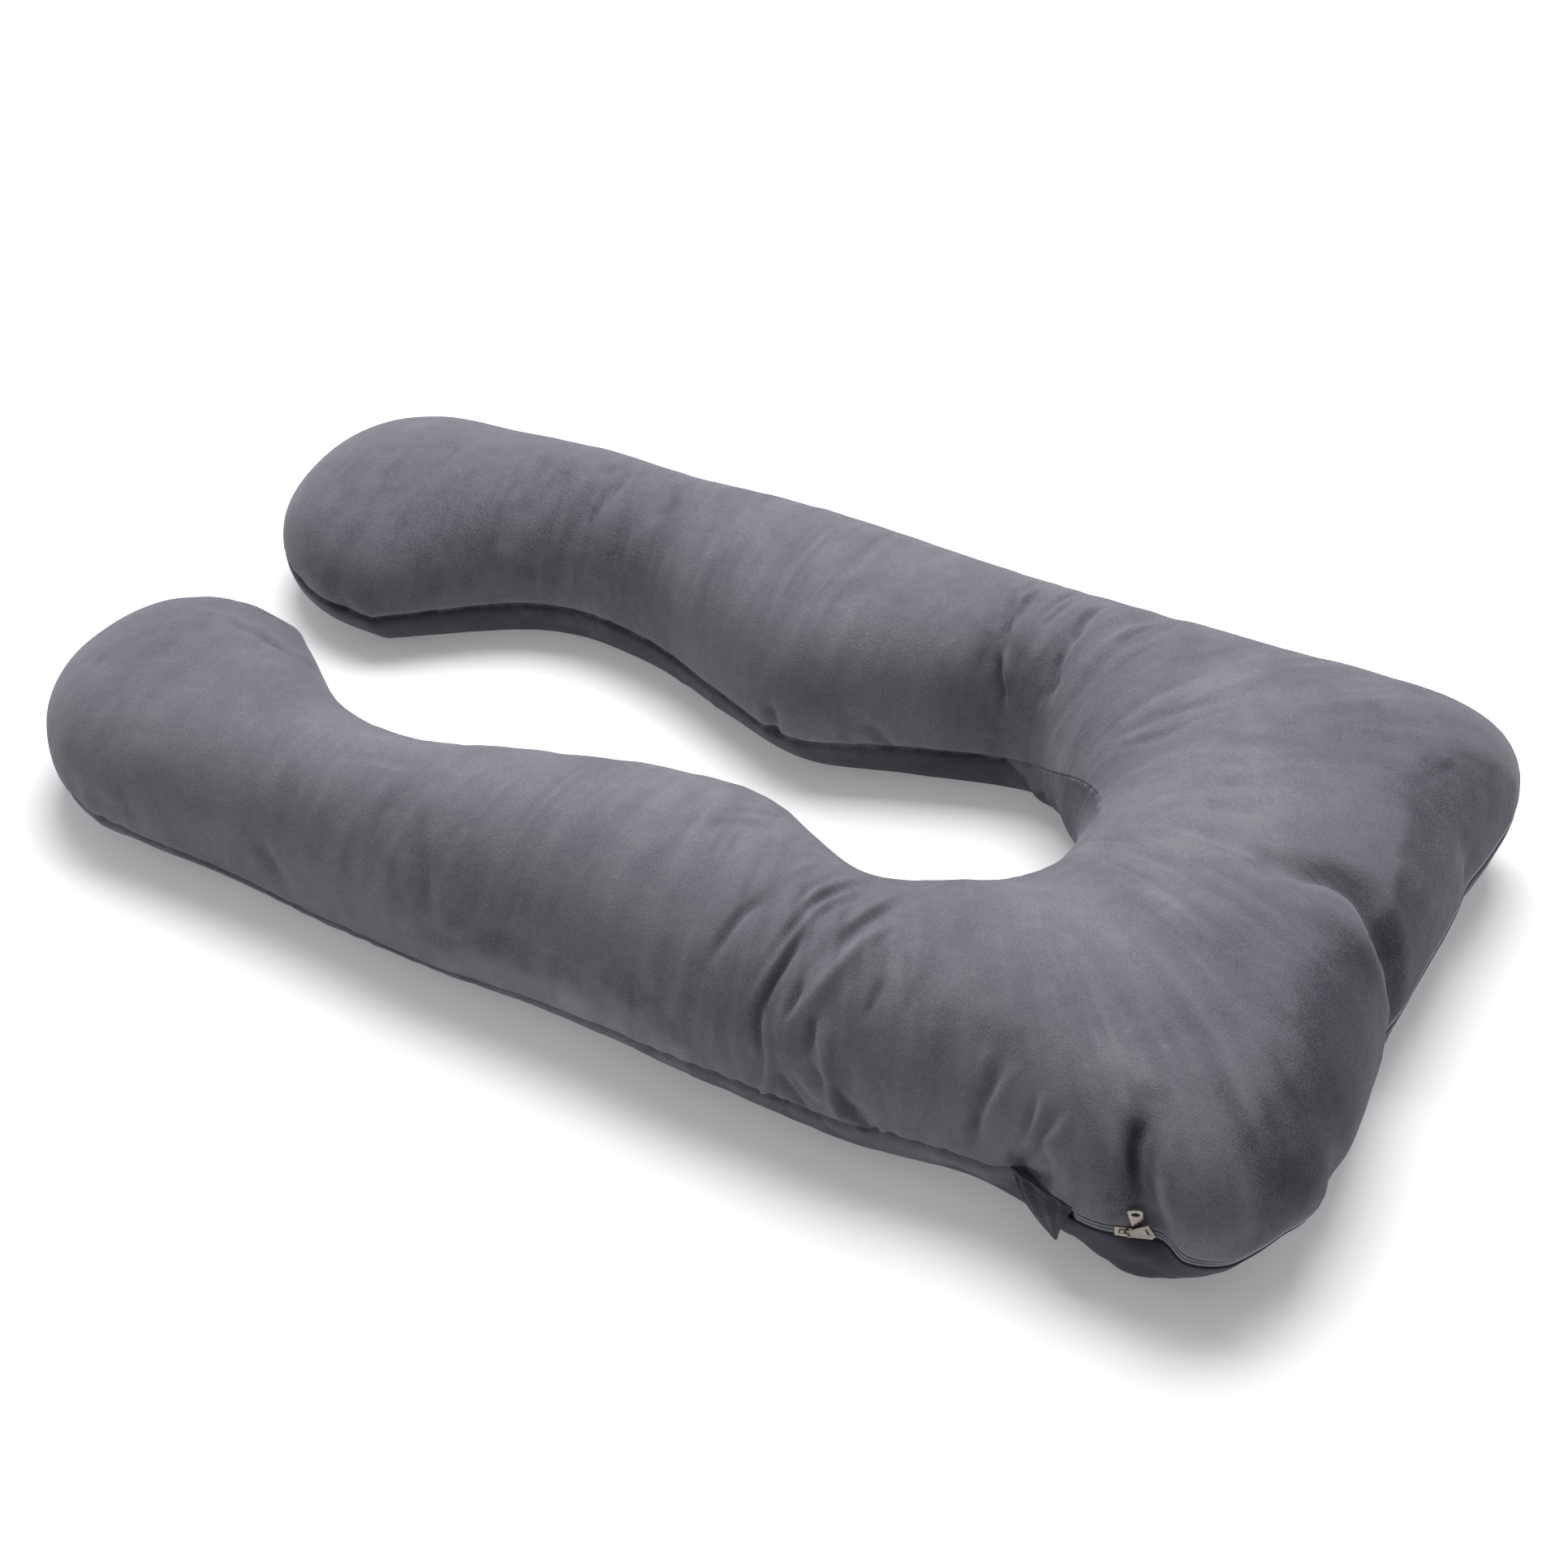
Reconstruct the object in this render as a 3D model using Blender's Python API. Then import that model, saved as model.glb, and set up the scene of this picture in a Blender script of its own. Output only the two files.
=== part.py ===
"""A U-shaped body pillow in short-pile velvet, lying on its lower panel.

Two panels meet in a seam that runs right round the outline. Along the closed end a coil zip is sewn
into that seam, with two sliders head to head. The stuffed cover is one solid, and each part of the zip
is its own.
Metres, +Z up, the underside on z = 0. The closed end points along +X and the near leg lies at -Y.
"""

import math

import bmesh
import bpy
import numpy as np
from mathutils import Matrix

# ---- Driving dimensions, metres -----------------------------------------------------------------------

WIDEST_AT = 0.43        # a section is widest at this share of its crown height
ROUNDNESS = 2.25        # exponent of a section's superellipse; 2 would be an ellipse
SAG = 0.020             # how far the stuffing would hang below the floor if the floor let it
FOOT_ROUNDNESS = 2.3    # exponent that rounds off the two feet

# One row for each section, from the near foot round the closed end to the far foot. The inner and outer
# points are where the section is widest, in plan. The crown and the seams are heights above the floor.
SECTIONS = {
    #                 inner_x inner_y outer_x outer_y crown  inner_seam outer_seam
    "near foot":     (-0.515, -0.060, -0.560, -0.370, 0.172, 0.056, 0.045),
    "near calf":     (-0.375, -0.158, -0.400, -0.362, 0.180, 0.056, 0.029),
    "near knee":     (-0.255, -0.178, -0.270, -0.366, 0.190, 0.055, 0.027),
    "near thigh":    (-0.115, -0.132, -0.140, -0.374, 0.203, 0.055, 0.030),
    "near belly":    (-0.010, -0.097, -0.010, -0.372, 0.211, 0.055, 0.042),
    "near waist":    (0.088, -0.085, 0.130, -0.376, 0.213, 0.056, 0.054),
    "near shoulder": (0.226, -0.142, 0.310, -0.373, 0.213, 0.056, 0.058),
    "near haunch":   (0.309, -0.095, 0.465, -0.358, 0.212, 0.056, 0.065),
    "near corner":   (0.335, -0.052, 0.684, -0.377, 0.209, 0.080, 0.071),
    "near cheek":    (0.353, -0.027, 0.745, -0.210, 0.210, 0.125, 0.054),
    "head":          (0.360, 0.000, 0.718, -0.002, 0.213, 0.160, 0.071),
    "far cheek":     (0.358, 0.034, 0.708, 0.205, 0.216, 0.154, 0.084),
    "far corner":    (0.343, 0.074, 0.681, 0.387, 0.220, 0.143, 0.082),
    "far haunch":    (0.308, 0.114, 0.460, 0.394, 0.211, 0.122, 0.070),
    "far shoulder":  (0.230, 0.181, 0.290, 0.378, 0.204, 0.064, 0.058),
    "far waist":     (0.095, 0.136, 0.145, 0.382, 0.202, 0.060, 0.052),
    "far belly":     (-0.002, 0.096, 0.010, 0.385, 0.202, 0.057, 0.049),
    "far thigh":     (-0.100, 0.122, -0.126, 0.386, 0.196, 0.058, 0.048),
    "far knee":      (-0.240, 0.168, -0.275, 0.368, 0.187, 0.058, 0.048),
    "far calf":      (-0.370, 0.160, -0.404, 0.379, 0.176, 0.058, 0.048),
    "far foot":      (-0.510, 0.046, -0.558, 0.385, 0.162, 0.058, 0.049),
}
NEAR_TIP = (-0.702, -0.172)
FAR_TIP = (-0.712, 0.198)

# A place on the cloth is (along, across). Along runs in metres down the middle of the pillow from the tip
# of the near foot. Across is 0 on the outer seam and 1 on the inner seam, over the upper panel. Below 0 and
# above 1 it goes down the lower panel from that seam.
SEAM_DEPTH = 0.005      # how far the sewn seam draws the cloth in
SEAM_HALF_WIDTH = 0.0008
SEAM_LIP = 0.0065       # the cloth starts to roll into the seam this far from it
ZIP_FROM = 1.176        # the zip shows from here
ZIP_TO = 1.795
ZIP_RECESS = 0.0044     # depth of the channel that holds the zip
ZIP_HALF_WIDTH = 0.0086
ZIP_LIP = 0.0100
ZIP_LIP_DROP = 0.0008   # the cloth beside the zip stays at most this much below it
ZIP_RUN_OUT = 0.012     # the channel closes up over this length past each end of the zip
TAPE = (0.0036, 0.0073)         # a tape's two edges, from the middle of the zip
TAPE_LAYER = (-0.0032, -0.0020)         # its two faces, from the cloth's surface at the seam
TEETH = (0.0002, 0.0031)
TEETH_LAYER = (-0.0032, -0.0010)
SLIDER_SECTIONS = (7.604, 7.764)        # both sliders sit on the straight stretch between these two
# Where the outer seam rises on the cloth: by how much, over what length each side, and where along.
SEAM_RISES = {"behind the sliders": (0.008, 0.050, 1.205)}

# Folds: how deep, how wide each side, and the places that it runs through. A ridge has a depth below 0.
FOLDS = {
    "hollow behind the sliders": (0.015, 0.055, ((1.205, 0.07), (1.212, 0.00), (1.212, -0.05))),
    "crease above the sliders": (
        0.016, 0.026, ((1.228, 0.25), (1.213, 0.16), (1.208, 0.08), (1.209, 0.02))
    ),
    "pinch in the seam": (0.016, 0.030, ((1.146, 0.08), (1.137, 0.02), (1.134, -0.04), (1.134, -0.12))),
    "flap of the lower panel": (-0.016, 0.018, ((1.153, -0.05), (1.166, -0.10), (1.171, -0.14))),
    "sag under the sliders": (-0.009, 0.034, ((1.205, -0.17), (1.235, -0.15))),
    "tuck before the pinch": (0.007, 0.030, ((1.085, -0.12), (1.120, -0.14))),
    "swell at the near corner": (-0.008, 0.055, ((1.318, 0.11), (1.322, 0.00), (1.320, -0.11))),
    "fold left of the pinch": (0.007, 0.020, ((1.133, 0.27), (1.116, 0.18), (1.110, 0.10), (1.107, 0.02))),
    "valley across the head": (
        0.015, 0.026,
        ((1.462, 0.53), (1.479, 0.42), (1.481, 0.33), (1.470, 0.24), (1.460, 0.13), (1.457, 0.00))
    ),
    "roll below the valley": (-0.006, 0.024, ((1.440, 0.45), (1.448, 0.35), (1.446, 0.23))),
    "notch at the far cheek": (0.008, 0.026, ((1.578, 0.12), (1.576, 0.00), (1.576, -0.07))),
    "notch at the near cheek": (0.007, 0.024, ((1.338, 0.09), (1.336, 0.00), (1.336, -0.05))),
    "long crease": (
        0.013, 0.022,
        ((0.998, 0.59), (0.976, 0.53), (0.964, 0.46), (0.950, 0.38), (0.934, 0.27), (0.930, 0.08))
    ),
    "sweep before the belly": (0.007, 0.022, ((0.920, 0.46), (0.900, 0.41), (0.886, 0.34), (0.872, 0.24))),
    "sweep at the haunch": (0.009, 0.020, ((1.045, 0.57), (1.020, 0.51), (1.000, 0.45), (0.982, 0.37))),
    "ridge at the haunch": (
        -0.010, 0.020, ((1.034, 0.46), (1.008, 0.40), (0.986, 0.33), (0.966, 0.25), (0.947, 0.15))
    ),
    "wedge under the ridge": (0.011, 0.020, ((0.982, 0.27), (0.974, 0.19), (0.962, 0.10))),
    "ridge to the seam": (-0.007, 0.018, ((0.982, 0.22), (0.992, 0.12), (0.998, 0.04))),
    "crease at the haunch": (0.014, 0.022, ((0.994, 0.17), (1.006, 0.09), (1.022, 0.04), (1.036, 0.00))),
    "trough past the haunch": (0.006, 0.022, ((1.100, 0.49), (1.086, 0.42), (1.070, 0.34), (1.055, 0.24))),
    "far waist crease": (0.012, 0.020, ((2.064, 0.50), (2.036, 0.61), (2.016, 0.71))),
    "far waist second crease": (0.012, 0.020, ((2.030, 0.67), (2.016, 0.74), (1.996, 0.87))),
    "far shoulder crease": (0.010, 0.020, ((1.984, 0.42), (1.970, 0.54), (1.958, 0.66), (1.944, 0.78))),
    "far haunch crease": (0.006, 0.020, ((1.924, 0.35), (1.927, 0.47), (1.924, 0.57))),
    "swell under the far haunch": (-0.010, 0.036, ((1.955, 1.13), (1.915, 1.15))),
    "far foot tuck": (0.010, 0.018, ((2.812, 0.89), (2.808, 0.95), (2.803, 1.00))),
    "far belly tuck": (0.009, 0.018, ((2.250, 0.90), (2.247, 0.96), (2.246, 1.00))),
    "far calf crease": (0.007, 0.020, ((2.548, 0.50), (2.556, 0.62), (2.563, 0.76))),
    "near knee crease": (0.007, 0.020, ((0.540, 0.48), (0.532, 0.42), (0.546, 0.34), (0.566, 0.28))),
    "near knee tuck": (0.009, 0.020, ((0.578, 0.29), (0.592, 0.22), (0.603, 0.14))),
    "near calf crease": (0.006, 0.020, ((0.378, 0.22), (0.394, 0.16), (0.404, 0.10))),
    "near foot pucker": (0.012, 0.024, ((0.105, 0.68), (0.136, 0.72), (0.172, 0.74), (0.212, 0.77))),
    "head pleat, far": (0.005, 0.020, ((1.800, 0.87), (1.766, 0.81), (1.750, 0.67))),
    "head pleat, middle": (0.005, 0.020, ((1.660, 0.80), (1.652, 0.72), (1.638, 0.59))),
    "head pleat, near": (0.004, 0.020, ((1.575, 0.75), (1.565, 0.66), (1.562, 0.56))),
}

# Sliders and pulls. Each is drawn with x down the zip, y up across it and z standing off the pillow.
SLIDER_LENGTH = 0.0164
SLIDER_SPACING = 0.0178         # from one slider's middle to the other's
SLIDER_HALF_WIDTH = 0.0052
SLIDER_INNER_HALF_WIDTH = 0.0040
SLIDER_TAIL_SHARE = 0.88        # a slider's tail is this much narrower than its head
SLIDER_FOOT = -0.0014           # where its two side walls end, just above the tapes
SLIDER_UNDER = -0.0005          # underside of its plate, just above the teeth
SLIDER_TOP = 0.0009
BRIDGE_HALF_WIDTH = 0.0010
BRIDGE_LEG = (0.0034, 0.0045)   # inner and outer face of a leg, from the slider's middle
BRIDGE_CLEAR = 0.0037           # height of the opening under the bridge
BRIDGE_TOP = 0.0047
BRIDGE_CORNER = 0.0010
PULL_LENGTH = 0.0325
PULL_THICKNESS = 0.0013
PULL_NARROW_HALF = 0.0033
PULL_WIDE_HALF = 0.0070
PULL_CORNER = 0.0016
PULL_EYE = (0.0014, 0.0069)     # the slot that the bridge passes through, from the narrow end
PULL_EYE_HALF = 0.0021
PULL_HOLE_AT = 0.0276           # the oval hole's middle, from the narrow end
PULL_HOLE = (0.0024, 0.0040)    # its half sizes, along and across the pull
PULL_BAR_TO_LEG = 0.0033        # from the pull's narrow end to the bridge's leg that its eye goes round
PULL_HEIGHT = 0.00125           # underside of a pull, where it passes under the bridge
SWING_NEAR = (31.0, 19.0)       # degrees that the near pull is turned up the cloth, and stands off it
SWING_FAR = (97.0, 5.0)

# ---- Fineness of the faceted solids -------------------------------------------------------------------

BODY_STATIONS = 98      # sections between the two feet
FOOT_STATIONS = 7       # more sections on each rounded foot
UPPER_COLUMNS = 15      # points across the upper panel, between its two seams
SIDE_COLUMNS = 2        # points on each side of the lower panel, between seam and floor
FLOOR_COLUMNS = 3       # points across the flat underside
FRAME_SMOOTHING = 3     # passes that even out how the zip's channel is turned
OUTLINE_STEPS = 400     # steps for measuring along the pillow
CURVE_STEPS = 60        # steps for measuring round a section
WELD = 1e-6
SECTION_MARGIN = 0.05   # no other section comes this near the sliders' straight stretch


def smooth_rows(table, places):
    """Catmull-Rom through the rows of a table, at fractional row numbers."""
    last = len(table) - 1
    places = np.clip(places, 0, last - 1e-9)
    row = places.astype(int)
    share = (places - row)[:, None]
    here, after = table[row], table[row + 1]
    before = np.where((row == 0)[:, None], 2 * here - after, table[np.maximum(row - 1, 0)])
    beyond = np.where((row + 2 > last)[:, None], 2 * after - here, table[np.minimum(row + 2, last)])
    return 0.5 * (
        2 * here
        + (after - before) * share
        + (2 * before - 5 * here + 4 * after - beyond) * share**2
        + (3 * here - before - 3 * after + beyond) * share**3
    )


def running_length(points):
    """Distance along a row of points, starting at 0."""
    steps = np.linalg.norm(np.diff(points, axis=0), axis=1)
    return np.concatenate([[0.0], np.cumsum(steps)])


def foot_sections(end, tip, count):
    """Sections that shrink from the tip of a foot up to, but not onto, the end section of a leg."""
    angles = np.linspace(math.pi / 2, 0, count, endpoint=False)
    sections = []
    for angle in angles:
        size = math.cos(angle) ** (2 / FOOT_ROUNDNESS)
        reach = math.sin(angle) ** (2 / FOOT_ROUNDNESS)
        middle = (end[0:2] + end[2:4]) / 2
        half = (end[2:4] - end[0:2]) / 2 * size
        middle = middle + (np.array(tip) - middle) * reach
        sections.append(np.concatenate([middle - half, middle + half, end[4:7], [size]]))
    return sections


def stations(body_count, foot_count):
    """All sections from tip to tip, the distance along for each, and where the straight stretch starts.

    A section has the table's columns and then its size, which is 1 but for the feet. The sliders sit on
    the straight stretch, from the section with the number given to the next."""
    table = np.array(list(SECTIONS.values()))
    places = np.linspace(0, len(table) - 1, OUTLINE_STEPS)
    rows = smooth_rows(table, places)
    middles = (rows[:, 0:2] + rows[:, 2:4]) / 2
    length = (running_length(middles) + running_length(rows[:, 2:4])) / 2
    places = np.interp(np.linspace(0, length[-1], body_count), length, places)
    first, last = SLIDER_SECTIONS
    outside = (places < first - SECTION_MARGIN) | (places > last + SECTION_MARGIN)
    places = np.sort(np.concatenate([places[outside], SLIDER_SECTIONS]))
    body = smooth_rows(table, places)
    body = np.column_stack([body, np.ones(len(body))])
    near = foot_sections(body[0], NEAR_TIP, foot_count)
    far = foot_sections(body[-1], FAR_TIP, foot_count)
    sections = np.array(near + list(body) + far[::-1])
    along = running_length((sections[:, 0:2] + sections[:, 2:4]) / 2)
    for rise, half_length, at in SEAM_RISES.values():
        sections[:, 6] += rise * np.maximum(1 - ((along - at) / half_length) ** 2, 0) ** 2
    return sections, along, foot_count + int(np.argmin(np.abs(places - first)))


def profile(section, angles):
    """Points of one section. 0 is its outer side, a quarter turn the crown, a half turn the inner side."""
    inner, outer, crown, size = section[0:2], section[2:4], section[4], section[7]
    widest = WIDEST_AT * crown
    power = 2 / ROUNDNESS
    across = np.sign(np.cos(angles)) * np.abs(np.cos(angles)) ** power
    rise = np.sign(np.sin(angles)) * np.abs(np.sin(angles)) ** power * size
    height = np.where(rise > 0, widest + (crown - widest) * rise, widest + (widest + SAG) * rise)
    plan = (inner + outer) / 2 + (outer - inner) / 2 * across[:, None]
    return np.column_stack([plan, np.maximum(height, 0.0)])


def drop_angle(section, height):
    """How far round from the section's widest point its side has dropped to a height."""
    widest = WIDEST_AT * section[4]
    share = np.clip((widest - height) / (widest + SAG), -0.98, 0.98)
    return np.sign(share) * math.asin(abs(share) ** (ROUNDNESS / 2))


def seam_angles(section):
    """Where round the section the outer seam and the inner seam lie."""
    return -drop_angle(section, section[6]), math.pi + drop_angle(section, section[5])


def touch_angles(section):
    """Where round the section its inner and its outer side come down onto the floor."""
    widest = WIDEST_AT * section[4]
    share = min(widest / ((widest + SAG) * max(section[7], 1e-6)), 0.97)
    drop = math.asin(share ** (ROUNDNESS / 2))
    return math.pi + drop, 2 * math.pi - drop


def measured_curve(section, first, last):
    """Closely spaced angles between two angles, and the distance to each along the full-size section."""
    fine = np.linspace(first, last, CURVE_STEPS)
    full_size = section.copy()
    full_size[7] = 1.0
    return fine, running_length(profile(full_size, fine))


def place_angle(section, across):
    """Angle round a section of a place across the cloth."""
    outer, inner = seam_angles(section)
    if across > 1:
        fine, length = measured_curve(section, inner, outer + 2 * math.pi)
        return np.interp((across - 1) * length[-1], length, fine)
    fine, length = measured_curve(section, outer, inner if across >= 0 else inner - 2 * math.pi)
    return np.interp(abs(across) * length[-1], length, fine)


def cloth_point(sections, along, place):
    """Point of the smooth cloth, before any fold, at a place (along, across)."""
    section = np.array([np.interp(place[0], along, column) for column in sections.T])
    return profile(section, np.array([place_angle(section, place[1])]))[0]


def distance_to_path(points, path):
    """Distance from each point to the nearest of a path's straight pieces, and its share down the path."""
    best = np.full(len(points), np.inf)
    share = np.zeros(len(points))
    starts = running_length(path)
    for number in range(len(path) - 1):
        piece = path[number + 1] - path[number]
        reach = np.clip((points - path[number]) @ piece / (piece @ piece), 0, 1)
        distance = np.linalg.norm(points - path[number] - reach[:, None] * piece, axis=1)
        nearer = distance < best
        best[nearer] = distance[nearer]
        down = starts[number] + reach * np.linalg.norm(piece)
        share[nearer] = down[nearer] / starts[-1]
    return best, share


def fold_offsets(points, sections, along):
    """How far each point moves out along its normal, summed over the folds."""
    offsets = np.zeros(len(points))
    for depth, half_width, places in FOLDS.values():
        path = np.array([cloth_point(sections, along, place) for place in places])
        path = smooth_rows(path, np.linspace(0, len(path) - 1, 4 * len(path)))
        distance, share = distance_to_path(points, path)
        trough = np.maximum(1 - (distance / half_width) ** 2, 0) ** 2
        fade = 0.45 + 0.55 * np.sin(math.pi * share)
        offsets -= depth * trough * fade
    return offsets


def normals_of(rings):
    """Outward unit normals of a closed band of rings."""
    round_it = np.roll(rings, -1, axis=1) - np.roll(rings, 1, axis=1)
    down_it = np.gradient(rings, axis=0)
    normals = np.cross(down_it, round_it)
    length = np.linalg.norm(normals, axis=2, keepdims=True)
    return normals / np.maximum(length, 1e-9)


def zip_share(along):
    """1 where the zip's channel is open, 0 where the seam is sewn shut."""
    before = (along - (ZIP_FROM - ZIP_RUN_OUT)) / ZIP_RUN_OUT
    after = ((ZIP_TO + ZIP_RUN_OUT) - along) / ZIP_RUN_OUT
    return np.clip(np.minimum(before, after), 0, 1)


def spread(section, first, last, first_lip, last_lip, count):
    """Angles of points spread evenly between two angles, after a lip at each end that has one."""
    fine, length = measured_curve(section, first, last)
    places = np.linspace(first_lip, length[-1] - last_lip, count + 2)
    kept = slice(0 if first_lip else 1, None if last_lip else -1)
    return np.interp(places[kept], length, fine)


def ring_of(section, outer_lip):
    """One ring: outer seam, over the upper panel, inner seam, then under the pillow and back."""
    outer, inner = seam_angles(section)
    down, up = touch_angles(section)
    upper = spread(section, outer, inner, outer_lip, SEAM_LIP, UPPER_COLUMNS)
    inner_side = spread(section, inner, down, SEAM_LIP, 0, SIDE_COLUMNS)
    floor = np.linspace(down, up, FLOOR_COLUMNS + 2)
    outer_side = spread(section, up, outer + 2 * math.pi, 0, outer_lip, SIDE_COLUMNS)
    return profile(section, np.concatenate([[outer], upper, [inner], inner_side, floor, outer_side]))


OUTER_SEAM = 0
INNER_SEAM = UPPER_COLUMNS + 3
FLOOR_FROM = INNER_SEAM + SIDE_COLUMNS + 2
FLOOR = slice(FLOOR_FROM, FLOOR_FROM + FLOOR_COLUMNS + 2)


def seam_frames(rings, column):
    """At each ring the seam's point, and unit vectors up across it and out of the pillow."""
    point = rings[:, column]
    above = rings[:, (column + 1) % rings.shape[1]]
    below = rings[:, column - 1]
    down_seam = np.gradient(point, axis=0)
    down_seam /= np.maximum(np.linalg.norm(down_seam, axis=1, keepdims=True), 1e-9)
    across = above - below
    across -= np.sum(across * down_seam, axis=1, keepdims=True) * down_seam
    across /= np.maximum(np.linalg.norm(across, axis=1, keepdims=True), 1e-9)
    return point, across, np.cross(down_seam, across)


def folded_rings():
    """The cloth's rings with every fold in them, the distance along for each, and the straight stretch."""
    sections, along, straight = stations(BODY_STATIONS, FOOT_STATIONS)
    open_share = zip_share(along)
    lips = SEAM_LIP + (ZIP_LIP - SEAM_LIP) * open_share
    rings = np.array([ring_of(section, lip) for section, lip in zip(sections, lips)])
    offsets = fold_offsets(rings.reshape(-1, 3), sections, along).reshape(rings.shape[:2])
    offsets *= sections[:, 7:8]
    offsets[:, FLOOR] = 0.0
    rings = rings + normals_of(rings) * offsets[..., None]
    rings[..., 2] = np.maximum(rings[..., 2], 0.0)
    return rings, along, sections[:, 7], straight


def zip_frames(rings, straight):
    """Frames down the outer seam, turning smoothly, and level over the sliders' straight stretch."""
    point, across, out = seam_frames(rings, OUTER_SEAM)
    for _ in range(FRAME_SMOOTHING):
        across[1:-1] = (across[:-2] + 2 * across[1:-1] + across[2:]) / 4
    down = np.gradient(point, axis=0)
    level = slice(straight, straight + 2)
    across[level] = across[level].mean(axis=0)
    down[level] = point[straight + 1] - point[straight]
    down /= np.linalg.norm(down, axis=1, keepdims=True)
    across -= np.sum(across * down, axis=1, keepdims=True) * down
    across /= np.linalg.norm(across, axis=1, keepdims=True)
    return point, across, np.cross(down, across)


def draw_in_seams(rings, along, size, frames):
    """Rings with the inner seam drawn in, and the outer seam as a slit, or as a channel where the zip is."""
    open_share = zip_share(along)
    half_width = (SEAM_HALF_WIDTH + (ZIP_HALF_WIDTH - SEAM_HALF_WIDTH) * open_share) * size
    depth = (SEAM_DEPTH + (ZIP_RECESS - SEAM_DEPTH) * open_share) * size
    rings = rings.copy()
    point, across, out = frames
    for lip, side in ((OUTER_SEAM + 1, 1), (-1, -1)):
        off = ((rings[:, lip] - point) * out).sum(axis=1, keepdims=True)
        beside_zip = point + across * (side * ZIP_LIP) + out * np.maximum(off, -ZIP_LIP_DROP)
        rings[:, lip] += (beside_zip - rings[:, lip]) * open_share[:, None]
    bottom = point - out * depth[:, None]
    upper_edge = bottom + across * half_width[:, None]
    lower_edge = bottom - across * half_width[:, None]
    point, across, out = seam_frames(rings, INNER_SEAM)
    inner = point - out * (SEAM_DEPTH * size)[:, None]
    middle = rings[:, OUTER_SEAM + 1:INNER_SEAM]
    under = rings[:, INNER_SEAM + 1:]
    columns = [upper_edge[:, None], middle, inner[:, None], under, lower_edge[:, None]]
    return np.concatenate(columns, axis=1)


def zip_strip(frames, along, edges, layer):
    """Rings of a flat strip that follows the zip, between two distances across it and two depths."""
    point, across, out = frames
    shown = (along >= ZIP_FROM) & (along <= ZIP_TO)
    corners = [(edges[0], layer[0]), (edges[1], layer[0]), (edges[1], layer[1]), (edges[0], layer[1])]
    strip = [point + across * aside + out * off for aside, off in corners]
    return np.stack(strip, axis=1)[shown]


def slider_frame(frames, straight):
    """Matrix of the middle of the sliders' straight stretch: down the zip, up across it, and outwards."""
    point, across, out = (vectors[straight] for vectors in frames)
    frame = np.eye(4)
    frame[:3, 0], frame[:3, 1], frame[:3, 2] = np.cross(across, out), across, out
    frame[:3, 3] = (point + frames[0][straight + 1]) / 2
    return Matrix(frame.tolist())


# ---- Blender objects ----------------------------------------------------------------------------------

def material(name, color, roughness, metallic=0.0, sheen=0.0):
    made = bpy.data.materials.new(name)
    made.use_nodes = True
    shader = made.node_tree.nodes["Principled BSDF"]
    shader.inputs["Base Color"].default_value = (*color, 1.0)
    shader.inputs["Roughness"].default_value = roughness
    shader.inputs["Metallic"].default_value = metallic
    shader.inputs["Sheen Weight"].default_value = sheen
    return made


def add_object(name, mesh, finish, frame=None):
    """Links a new object made from a bmesh, shaded smooth but for its sharp edges."""
    bmesh.ops.recalc_face_normals(mesh, faces=mesh.faces)
    data = bpy.data.meshes.new(name)
    mesh.to_mesh(data)
    mesh.free()
    data.shade_smooth()
    data.set_sharp_from_angle(angle=math.radians(40))
    data.materials.append(finish)
    made = bpy.data.objects.new(name, data)
    bpy.context.scene.collection.objects.link(made)
    if frame is not None:
        made.matrix_world = frame
    return made


def loft(name, rings, finish):
    """One closed solid through rings of points, from a grid rolled into a tube and closed at both ends."""
    rows, columns = rings.shape[:2]
    mesh = bmesh.new()
    bmesh.ops.create_grid(mesh, x_segments=columns, y_segments=rows - 1, size=0.5)
    for number, vertex in enumerate(mesh.verts):
        row, column = divmod(number, columns + 1)
        vertex.co = rings[row, column % columns]
    bmesh.ops.remove_doubles(mesh, verts=mesh.verts, dist=WELD)
    bmesh.ops.holes_fill(mesh, edges=mesh.edges, sides=0)
    return add_object(name, mesh, finish)


def extrude_outline(outline, low, high):
    """A bmesh of a flat outline, given as x and y, extruded from one height to another."""
    mesh = bmesh.new()
    face = mesh.faces.new([mesh.verts.new((x, y, low)) for x, y in outline])
    extruded = bmesh.ops.extrude_face_region(mesh, geom=[face])
    top = [item for item in extruded["geom"] if isinstance(item, bmesh.types.BMVert)]
    bmesh.ops.translate(mesh, verts=top, vec=(0, 0, high - low))
    return mesh


def boolean(target, helper, operation):
    """Joins a hidden helper object to the target, or cuts it out."""
    helper.hide_render = True
    helper.display_type = "WIRE"
    step = target.modifiers.new(helper.name, "BOOLEAN")
    step.operation = operation
    step.object = helper


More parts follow.
